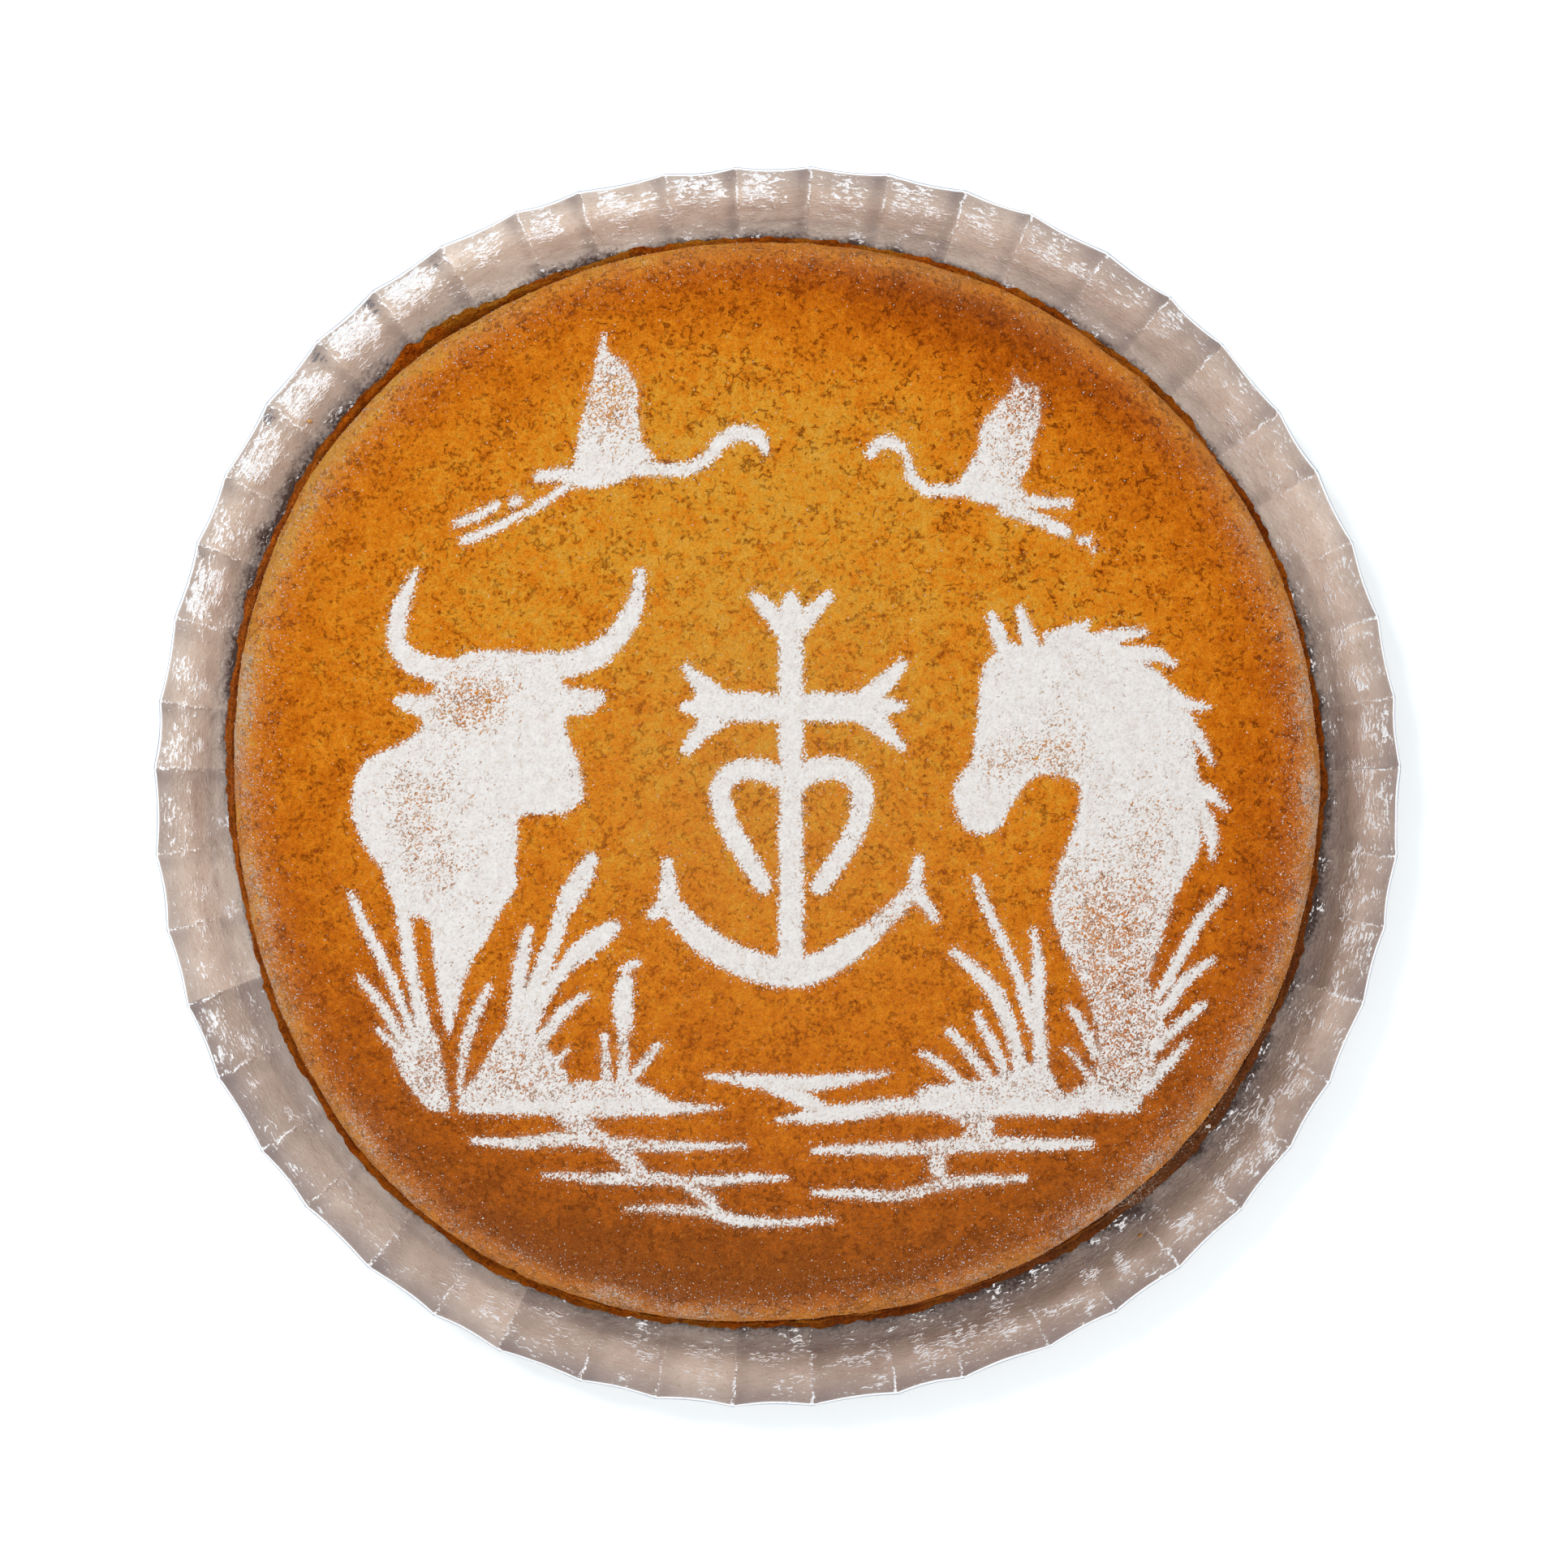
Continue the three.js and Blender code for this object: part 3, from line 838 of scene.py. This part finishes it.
LEFT_BIRD = {
    "outlines": [[
        (-37.5, 97.5), (-36, 94), (-32, 90.5), (-29.5, 85.5), (-29.5, 80), (-28.5, 74), (-26.5, 70.5),
        (-31, 66.5), (-35, 65), (-40.5, 64), (-44.5, 64.5), (-46.5, 66), (-44, 69), (-43, 75), (-41.5, 82),
        (-40, 88.5),
    ]],
    "strokes": [
        [(-31, 68.5, 2), (-23.5, 68, 1.6), (-18, 68.5, 1.5), (-14.5, 71, 1.5), (-11.5, 74.5, 1.7),
         (-7.5, 76, 1.8), (-4, 75, 1.6), (-2.5, 72, 0.9)],
        [(-42.5, 67.5, 1.6), (-47.5, 67, 1.5), (-51.5, 66.5, 1.2)],
        [(-44.5, 65, 1), (-49.5, 61.5, 1), (-55, 58.5, 1), (-61, 55.5, 1.1), (-67, 53, 1.2)],
        [(-55.5, 61.7, 1.3), (-56.5, 61.2, 1.3)],
        [(-60.5, 60.5, 1.1), (-65, 58, 1.2), (-68.5, 56.8, 1.2)],
    ],
    "thin": [(-35, 88, 9, 0.6), (-36, 78, 9, 0.45)],
}
RIGHT_BIRD = {
    "outlines": [[
        (51, 89), (53, 87.5), (56.5, 86.5), (57, 84), (57, 79), (55.5, 74), (54.5, 69.5), (52.5, 65),
        (54.5, 61.5), (51, 58.5), (47.5, 60), (43.5, 61), (39.5, 62.5), (39, 65), (41, 69), (43, 72.5),
        (43.5, 77), (46.5, 82), (50, 85.5),
    ]],
    "strokes": [
        [(41, 64, 1.7), (35, 63.5, 1.3), (31.5, 64, 1.3), (29, 66.5, 1.2), (28, 69.5, 1), (27, 72.5, 1.2),
         (24, 74, 1.6), (21.5, 73, 1.5), (20, 71.3, 0.9)],
        [(51, 61.5, 2), (57.5, 61, 1.4), (62.5, 61, 1.1)],
        [(49, 60, 2), (56.5, 57.3, 1.6), (62, 54.5, 1.3)],
        [(65.3, 53, 1), (67, 53, 0.9)],
        [(68, 51.4, 0.7), (68, 51, 0.7)],
    ],
    "thin": [(54, 84, 7, 0.7), (51, 76, 8, 0.4), (52, 61, 8, 0.3)],
}
EMBLEM = {
    "outlines": [],
    "strokes": [
        [(3, 34, 2.7), (3, 0, 2.7), (3, -39, 2.7)],
        [(3, 36.5, 3), (3, 41, 1.2)],
        [(1.5, 34.5, 2.6), (-5, 40.8, 1.2)],
        [(4.5, 34.5, 2.6), (11, 40.8, 1.2)],
        [(-15, 17, 3.4), (3, 17, 3), (21, 17, 3.4)],
        [(-13, 18.5, 3), (-19.5, 25.5, 1.1)],
        [(-15, 17, 2.6), (-20, 17, 1.1)],
        [(-13, 15.5, 3), (-19.5, 8, 1.1)],
        [(19.5, 18.5, 3), (26.8, 26.3, 1.1)],
        [(21, 17, 2.6), (26.8, 17.3, 1.1)],
        [(19.5, 15.5, 3), (26.8, 8.5, 1.1)],
        [(2.5, 0.5, 2.4), (-2.5, 3.4, 2.4), (-9, 3.2, 2.4), (-12.2, -1, 2.4), (-10.5, -8, 2.3),
         (-7.5, -13.5, 2.3), (-3, -21, 2)],
        [(3.5, 0.5, 2.4), (8.5, 3.6, 2.4), (14.3, 3.6, 2.5), (18.2, -0.5, 2.5), (17.3, -8, 2.3),
         (13.5, -15, 2.3), (9.3, -21, 2)],
        [(-23.3, -25, 2.4), (-16.5, -32, 3), (-7.5, -37.6, 3.2), (3, -40, 3.3), (12.5, -36.8, 3),
         (22.5, -29, 2.4), (29.5, -22, 2)],
        [(-23.3, -25, 2.6), (-23.6, -16, 1.2)],
        [(-23.3, -25, 2.4), (-27, -27.5, 1)],
        [(29.5, -22, 2.2), (30.3, -15.5, 1.1)],
        [(29.5, -22, 2.2), (33.8, -28.5, 0.9)],
    ],
    "thin": [(25, -27, 8, 0.35)],
}
LEFT_REEDS = {
    "outlines": [
        [(-82.5, -57), (-74, -52), (-71, -62), (-70.5, -69.5), (-76, -69), (-80.5, -63.5)],
        [(-64, -60), (-57.5, -51), (-49.5, -55), (-44, -64), (-43.5, -70), (-56, -70.5), (-69, -69.5)],
        [(-46, -64), (-37, -62.5), (-28, -64), (-22, -69), (-30, -71), (-46, -71)],
    ],
    "strokes": [
        [(-91.5, -23.5, 0.9), (-89, -29.5, 1.2), (-85.5, -36, 1.1), (-82, -44, 1.2), (-78, -54, 1.5)],
        [(-90, -41, 0.8), (-86, -46, 1.2), (-81.5, -53, 1.4), (-78, -58, 1.6)],
        [(-86, -52.5, 0.8), (-82, -56, 1.2), (-78, -60, 1.4)],
        [(-81, -24.5, 1.3), (-79.5, -33, 1.6), (-78, -42.5, 1.6), (-75.5, -54, 2)],
        [(-62, -43, 1), (-65, -49.5, 1.4), (-67.3, -57, 1.5), (-68.3, -65.5, 1)],
        [(-53.5, -31, 1.3), (-55, -38.5, 1.6), (-56, -48, 1.8), (-58, -58, 2.2)],
        [(-39.8, -15.5, 1.6), (-42.5, -20.5, 2.5), (-45.5, -25.5, 2.2)],
        [(-45.5, -25.5, 1.8), (-48.5, -34.5, 1.7), (-52.5, -44, 1.8), (-55, -54.5, 2)],
        [(-35, -30, 1.6), (-39, -33, 2.4), (-43.5, -36.5, 2)],
        [(-43.5, -36.5, 1.7), (-49.5, -44, 1.6), (-54, -54.5, 1.8)],
        [(-41.5, -45, 1), (-47, -49.5, 1.6), (-51, -55.5, 1.7), (-54, -62, 1.8)],
        [(-45, -56.5, 0.9), (-49.5, -61, 1.4)],
        [(-30, -37.8, 0.9), (-32.5, -39, 0.9)],
        [(-32.5, -41.8, 1.8), (-33, -47, 2.3), (-33, -51.5, 2)],
        [(-33, -51.5, 1.4), (-33, -65, 1.5)],
        [(-37, -53.5, 1.1), (-36.5, -65, 1.5)],
        [(-25.5, -55.5, 1), (-30, -61, 1.4), (-33, -65.5, 1.4)],
    ],
    "thin": [(-76, -62, 9, 0.6), (-56, -62, 12, 0.6), (-36, -66, 12, 0.55)],
}
RIGHT_REEDS = {
    "outlines": [[
        (30, -65), (40, -63), (50, -61), (57, -59), (62, -65), (68, -63), (78, -69), (73.5, -70.5),
        (60, -69.5), (49, -71), (34, -70.5),
    ]],
    "strokes": [
        [(42.5, -19.5, 0.8), (45, -26, 1.2), (49, -34.5, 1.1), (52.5, -43, 1.2), (55, -52, 1.3)],
        [(55, -31, 0.8), (56, -39, 1.4), (56, -49, 1.7), (57, -61, 1.9)],
        [(38, -35.5, 1.2), (45, -42, 1.7), (49.5, -50.5, 1.6), (52.5, -61, 1.7)],
        [(43, -49.5, 1), (46.5, -56, 1.4), (49.5, -63, 1.5)],
        [(37, -52.5, 1), (42, -58, 1.5), (46.5, -64, 1.6)],
        [(31.5, -57.5, 0.9), (36.5, -60.5, 1.3), (41, -66, 1.5)],
        [(63, -47.5, 0.9), (66, -52, 1.3), (68.5, -58, 1.5)],
        [(62, -56, 0.8), (65, -59.5, 1.2), (67.5, -63.5, 1.4)],
        [(96.5, -22.5, 0.8), (90.5, -29.5, 1.2), (86, -38, 1.3), (82, -45, 1)],
        [(93.5, -37.5, 0.8), (88, -41.5, 1.3), (83, -48, 1.4)],
        [(92, -47, 0.8), (86.5, -51.5, 1.3), (81.5, -56, 1.4)],
        [(88.5, -55, 0.8), (83.5, -60.5, 1.4), (79.5, -65, 1.5)],
    ],
    "thin": [(44, -66, 10, 0.5), (66, -66, 12, 0.55)],
}
LEFT_WATER = {
    "outlines": [],
    "strokes": [
        [(-62, -69, 1.4), (-48, -68.8, 1.9), (-34, -68.5, 1.9), (-24, -69, 1.8), (-12, -69, 0.5)],
        [(-47, -69.5, 2.2), (-43, -72.5, 2.6), (-38, -75.5, 2.2)],
        [(-65.5, -76, 0.6), (-55.5, -76.5, 1.5), (-45, -75.6, 1.9), (-34, -76.7, 1.8), (-22.5, -77.3, 1.5),
         (-7, -77, 0.6)],
        [(-36, -77, 2), (-31.5, -80.5, 2.4), (-28.5, -84, 2)],
        [(-50, -83.5, 0.7), (-38.5, -84.2, 1.5), (-28.5, -84.2, 1.9), (-17, -84.8, 1.7), (-7.5, -84.2, 1.2),
         (2, -84, 0.5)],
        [(-20, -85.5, 1.6), (-15, -88.5, 1.8), (-13.5, -91, 1.4)],
        [(-32.5, -90.7, 0.8), (-24.5, -90.8, 1.4), (-15, -91.5, 1.5), (-8.5, -93.3, 1.4), (1.5, -93.7, 1),
         (12, -93, 0.5)],
    ],
    "thin": [(-40, -77, 16, 0.45), (-22, -87, 16, 0.5)],
}
RIGHT_WATER = {
    "outlines": [],
    "strokes": [
        [(-15, -62, 0.6), (-4, -63.2, 1.6), (5.5, -63.8, 1.8), (14.5, -62.8, 1.3), (24, -61.5, 0.5)],
        [(-2, -64, 1.6), (4, -66.3, 1.8), (9, -69, 1.6)],
        [(0.5, -71.5, 0.7), (11, -70.4, 1.8), (24, -68.8, 2), (38, -68.3, 2.2), (52, -68.8, 2.2),
         (64, -69, 1.8)],
        [(39, -69, 3), (44, -73, 3), (41, -76.5, 2.4)],
        [(8, -78.2, 0.7), (19.5, -77.8, 1.5), (31.5, -77.6, 2), (43, -76.8, 2.2), (55, -77, 1.5),
         (67.5, -77, 0.8)],
        [(35, -78, 2.2), (34.5, -82, 2.2), (35.5, -84.5, 1.6)],
        [(8, -87.2, 0.7), (17.5, -87.6, 1.2), (26, -88, 1.5), (35.5, -85.6, 1.8), (44.5, -84.6, 1.4),
         (53.5, -84.4, 0.8)],
    ],
    "thin": [(40, -72, 14, 0.4), (30, -86, 14, 0.5)],
}
PICTURE = {
    "sugar_bull": BULL,
    "sugar_horse": HORSE,
    "sugar_left_bird": LEFT_BIRD,
    "sugar_right_bird": RIGHT_BIRD,
    "sugar_emblem": EMBLEM,
    "sugar_left_reeds": LEFT_REEDS,
    "sugar_right_reeds": RIGHT_REEDS,
    "sugar_left_water": LEFT_WATER,
    "sugar_right_water": RIGHT_WATER,
}


def smooth_line(points, closed, steps=5):
    """A smooth line through the points, as many more points."""
    p = np.array(points, float)
    if closed:
        before, after, far = np.roll(p, 1, axis=0), np.roll(p, -1, axis=0), np.roll(p, -2, axis=0)
    else:
        before = np.concatenate([p[:1], p[:-2]])
        after = p[1:]
        far = np.concatenate([p[2:], p[-1:]])
        last, p = p[-1:], p[:-1]
    line = []
    for t in np.arange(steps) / steps:
        near = 2 * p + (after - before) * t
        bend = (2 * before - 5 * p + 4 * after - far) * t ** 2 + (3 * p - before - 3 * after + far) * t ** 3
        line.append((near + bend) / 2)
    line = np.stack(line, axis=1).reshape(-1, p.shape[1])
    return line if closed else np.concatenate([line, last])


def from_segment(x, y, a, b):
    """Distance to a segment, and how far along it the nearest point is."""
    run = b[:2] - a[:2]
    along = ((x - a[0]) * run[0] + (y - a[1]) * run[1]) / max(run @ run, 1e-9)
    along = np.clip(along, 0, 1)
    return np.hypot(x - a[0] - along * run[0], y - a[1] - along * run[1]), along


def close_to(x, y, line):
    """Which places lie near a line's own box."""
    low, high = line[:, :2].min(axis=0) - FIGURE_MARGIN, line[:, :2].max(axis=0) + FIGURE_MARGIN
    return (x > low[0]) & (x < high[0]) & (y > low[1]) & (y < high[1])


def depth_in_outline(x, y, outline):
    """How far inside a closed outline each place is; below 0 outside."""
    line = smooth_line(outline, True)
    nearest = np.full(x.shape, FIGURE_MARGIN)
    inside = np.zeros(x.shape, bool)
    for a, b in zip(line, np.roll(line, -1, axis=0)):
        near = close_to(x, y, np.stack([a, b]))
        nearest[near] = np.minimum(nearest[near], from_segment(x[near], y[near], a, b)[0])
        if a[1] != b[1]:
            level = (a[1] > y) != (b[1] > y)
            inside[level] ^= x[level] < (b[0] - a[0]) * (y[level] - a[1]) / (b[1] - a[1]) + a[0]
    return np.where(inside, nearest, -nearest)


def depth_in_stroke(x, y, stroke):
    """How far inside a stroke each place is; below 0 outside."""
    line = smooth_line(stroke, False)
    depth = np.full(x.shape, -FIGURE_MARGIN)
    for a, b in zip(line[:-1], line[1:]):
        near = close_to(x, y, np.stack([a, b]))
        far, along = from_segment(x[near], y[near], a, b)
        depth[near] = np.maximum(depth[near], a[2] + (b[2] - a[2]) * along - far)
    return depth


def depth_in_figure(x, y, figure):
    """How far inside the figure each place is; below 0 outside."""
    depths = [depth_in_outline(x, y, outline) for outline in figure["outlines"]]
    depths += [depth_in_stroke(x, y, stroke) for stroke in figure["strokes"]]
    return np.max(depths, axis=0)


def thinness(x, y, figure):
    """How much less sugar fell at a place: 0 is dense and 1 very thin."""
    thin = 0.25 + 0.15 * noise(x, y, 0.0, 9.0, 63)
    for px, py, reach, amount in figure["thin"]:
        thin = thin + amount * peak(np.hypot(x - px, y - py), 0, reach)
    return np.clip(thin, 0, 1)


def picture_dust(x, y):
    """How dusty the crust itself is under and round the figures."""
    dust = np.zeros(x.shape)
    for figure in PICTURE.values():
        depth = depth_in_figure(x, y, figure)
        dust = np.maximum(dust, step(-1.3, 0.9, depth) * (0.7 - 0.2 * thinness(x, y, figure)))
    return dust


def sugar_film(name, figure, middle, look):
    """A figure's layer of sugar: a thin ragged sheet with holes that ends under the crust's surface.

    Gives back the places of the loose grains round it.
    """
    spots = [p[:2] for line in figure["outlines"] + figure["strokes"] for p in line]
    low, high = np.min(spots, axis=0) - 6, np.max(spots, axis=0) + 6
    wide, tall = np.ceil((high - low) / SUGAR_PITCH).astype(int)
    columns, rows = low[0] + SUGAR_PITCH * np.arange(wide), low[1] + SUGAR_PITCH * np.arange(tall)
    x, y = np.meshgrid(columns, rows, indexing="ij")
    x = x + rng.uniform(-0.3, 0.3, x.shape) * SUGAR_PITCH
    y = y + rng.uniform(-0.3, 0.3, y.shape) * SUGAR_PITCH
    depth = depth_in_figure(x, y, figure)
    thin = thinness(x, y, figure)
    thick = 0.36 * np.clip((depth + 0.25) / 1.3, -0.6, 1) - 0.04
    thick = thick + 0.06 * noise(x, y, 0.0, 2.2, 66) + 0.05 * noise(x, y, 0.0, 0.8, 67)
    thick = thick + rng.uniform(-0.27, 0.27, x.shape) - 0.34 * thin

    # Cells with a corner above the crust become the sheet
    numbers = np.arange(x.size).reshape(x.shape)
    covered = np.max([thick[corner] for corner in CELL_CORNERS], axis=0) >= 0
    quads = np.stack([numbers[corner][covered] for corner in CELL_CORNERS], axis=1)
    used, quads = np.unique(quads, return_inverse=True)
    x_used, y_used = x.ravel()[used], y.ravel()[used]
    rise = 0.7 * np.clip(thick.ravel()[used], -0.25, 0.6)
    points = np.column_stack([x_used, y_used, top_height(x_used, y_used, middle) + rise])
    make_piece(name, points, [quads.reshape(-1, 4)], [look])

    # Loose grains fall thickest just outside the edge
    chance = np.exp(-np.abs(depth + 0.5) / 0.8) * (depth < 0.6)
    fallen = rng.random(x.shape) < 0.11 * chance
    return np.stack([x[fallen], y[fallen]], axis=1)


def scatter(name, places, sizes, look):
    """Small eight-sided grains at the places, each turned and squashed its own way."""
    corners = np.array([(1, 0, 0), (0, 1, 0), (-1, 0, 0), (0, -1, 0), (0, 0, 1), (0, 0, -1)], float)
    sides = np.array([(0, 1, 4), (1, 2, 4), (2, 3, 4), (3, 0, 4), (1, 0, 5), (2, 1, 5), (3, 2, 5), (0, 3, 5)])
    count = len(places)
    turn = rng.uniform(0, 2 * np.pi, count)
    grown = corners[None] * sizes[:, None, None] * rng.uniform(0.6, 1.3, (count, 6, 1))
    cos, sin = np.cos(turn)[:, None], np.sin(turn)[:, None]
    x = grown[..., 0] * cos - grown[..., 1] * sin
    y = grown[..., 0] * sin + grown[..., 1] * cos
    points = np.stack([x, y, grown[..., 2] * 0.8], axis=-1) + places[:, None, :]
    faces = (sides[None] + 6 * np.arange(count)[:, None, None]).reshape(-1, 3)
    make_piece(name, points.reshape(-1, 3), [faces], [look], smooth=False)


def shoulder_places(count, middle):
    """Random places on the cake's shoulder, thick where most dust fell."""
    angle = rng.uniform(0, 2 * np.pi, count)
    share = np.clip(0.955 + 0.028 * rng.standard_normal(count), 0.86, 0.999)
    chance = 0.2 + lobes(angle, (0.9, -38, 38), (0.6, 8, 22), (0.5, 190, 38), (0.45, 135, 40), (0.3, -95, 30))
    keep = rng.random(count) < np.clip(chance, 0, 1)
    angle, share = angle[keep], share[keep]
    radius = share * (CAKE_RADIUS + bulge(CAKE_WAVES, angle))
    x, y = radius * np.cos(angle) + middle[0], radius * np.sin(angle) + middle[1]
    z = SEAT + uneven_dome(share, angle)
    relief = crust_relief(x, y, z)
    out, up = relief * step(0.9, 1.0, share), relief * (1 - step(0.9, 1.0, share))
    return np.stack([x + out * np.cos(angle), y + out * np.sin(angle), z + up + 0.05], axis=1)


def make_sugar(look, middle):
    """The picture, and the grains that lie loose on the top and on the shoulder."""
    near_figures = [sugar_film(name, figure, middle, look) for name, figure in PICTURE.items()]
    far = 108 * np.sqrt(rng.random(LOOSE_GRAINS))
    turn = rng.uniform(0, 2 * np.pi, LOOSE_GRAINS)
    anywhere = np.stack([far * np.cos(turn), far * np.sin(turn)], axis=1) + middle
    flat = np.concatenate(near_figures + [anywhere])
    on_top = np.column_stack([flat, top_height(flat[:, 0], flat[:, 1], middle) + 0.06])
    sizes = 0.07 + 0.12 * rng.random(len(on_top)) ** 2
    scatter("sugar_grains_top", on_top, sizes, look)
    shoulder = shoulder_places(SHOULDER_GRAINS, middle)
    scatter("sugar_grains_shoulder", shoulder, 0.06 + 0.1 * rng.random(len(shoulder)) ** 2, look)


# ---------------------------------------------------------------- crumbs in the case

# Each crumb's angle in degrees, and its distance from the middle of the case and its size in millimetres
CRUMBS = (
    (19, 130.5, 0.9), (21, 128.5, 0.6), (14, 129.5, 0.5), (-2, 127.0, 0.5), (-51, 128.5, 0.9),
    (-53, 130.0, 0.6), (-47, 127.0, 0.7), (142, 131.0, 0.5), (-12, 126.5, 0.6), (-28, 127.0, 0.5),
    (48, 127.5, 0.5), (-80, 126.8, 0.5),
)


def make_crumbs(look, floor):
    """Lumpy little balls that lie on the foil."""
    points, faces = [], []
    for number, (degrees, far, size) in enumerate(CRUMBS):
        turn = math.radians(degrees)
        rise = max(far - floor, 0) / WALL_RUN
        level = CARD + (CASE_HEIGHT - CARD) * rise + size * 0.55
        seat = np.array((far * math.cos(turn), far * math.sin(turn), level))
        ball = bmesh.new()
        bmesh.ops.create_icosphere(ball, subdivisions=2, radius=size)
        faces += [[v.index + len(points) for v in f.verts] for f in ball.faces]
        for vertex in ball.verts:
            x, y, z = vertex.co
            lump = 1 + 0.45 * float(noise(x + number * 9, y, z, size * 0.9, 71))
            points.append(seat + np.array((x * 1.25, y * 0.9, z * 0.75)) * lump)
        ball.free()
    make_piece("crumbs_in_case", np.array(points), [np.array(faces)], [look])


# ---------------------------------------------------------------- the object

crust, foil, card, sugar = crust_look(), foil_look(), card_look(), sugar_look()
case_shift, case_floor = make_case(foil, card)
cake_centre = np.array(CAKE_SHIFT) + case_shift
make_cake(crust, cake_centre)
make_sugar(sugar, cake_centre)
make_crumbs(crumb_look(), case_floor)


# ---------------------------------------------------------------- floor, light and camera

CAMERA_HEIGHT = 900.0
VIEW_WIDTH = 348.9  # how much of the floor the picture is wide
VIEW_MIDDLE = (1.46, 0.6)
SENSOR = 36.0
FLOOR_REACH = 3.0  # metres


def make_floor():
    mesh = bpy.data.meshes.new("floor")
    corners = [(-FLOOR_REACH, -FLOOR_REACH, 0), (FLOOR_REACH, -FLOOR_REACH, 0), (FLOOR_REACH, FLOOR_REACH, 0),
               (-FLOOR_REACH, FLOOR_REACH, 0)]
    mesh.from_pydata(corners, [], [(0, 1, 2, 3)])
    look = Look("pale_floor")
    look.surface["Base Color"].default_value = (0.88, 0.94, 0.98, 1)
    look.surface["Roughness"].default_value = 0.9
    look.surface["Emission Color"].default_value = (0.9, 0.97, 1, 1)
    look.surface["Emission Strength"].default_value = 0.15
    mesh.materials.append(look.material)
    floor = bpy.data.objects.new("floor", mesh)
    bpy.context.scene.collection.objects.link(floor)


def make_light(name, place, size, power):
    """A soft round lamp that shines at the cake."""
    lamp = bpy.data.lights.new(name, "AREA")
    lamp.shape = "DISK"
    lamp.size = size
    lamp.energy = power
    light = bpy.data.objects.new(name, lamp)
    light.location = place
    light.rotation_mode = "QUATERNION"
    light.rotation_quaternion = (Vector((0, 0, 0.02)) - Vector(place)).to_track_quat("-Z", "Y")
    light.visible_glossy = False
    bpy.context.scene.collection.objects.link(light)


def make_world(ring, low, overhead):
    """White light from all round, most from a ring half way up, and more from the right and the front."""
    world = bpy.data.worlds.new("studio")
    world.use_nodes = True
    sky = Nodes(world.node_tree)
    background = sky.tree.nodes["Background"]
    apart = sky.add("ShaderNodeSeparateXYZ", {0: sky.add("ShaderNodeTexCoord", output=0)}).node.outputs
    level = sky.ranged(apart[2], 0.45, 0.62, low, ring)
    level = sky.times(level, sky.ranged(apart[2], 0.86, 0.95, 1.0, overhead / ring))
    across = sky.math("SUBTRACT", apart[0], apart[1])
    level = sky.times(level, sky.plus(sky.times(across, 0.45), 1.0))
    background.inputs[0].default_value = (1, 1, 1, 1)
    sky.join(level, background.inputs[1])
    bpy.context.scene.world = world


def make_camera():
    camera = bpy.data.objects.new("camera", bpy.data.cameras.new("camera"))
    camera.data.sensor_width = SENSOR
    camera.data.lens = SENSOR * CAMERA_HEIGHT / VIEW_WIDTH
    camera.data.clip_start, camera.data.clip_end = 0.05, 20
    camera.location = (VIEW_MIDDLE[0] * MM, VIEW_MIDDLE[1] * MM, CAMERA_HEIGHT * MM)
    bpy.context.scene.collection.objects.link(camera)
    bpy.context.scene.camera = camera


make_floor()
make_light("window", (-0.75, 0.75, 1.25), 0.5, 13)
make_world(1.02, 0.74, 0.8)
make_camera()
bpy.context.scene.view_settings.view_transform = "Standard"
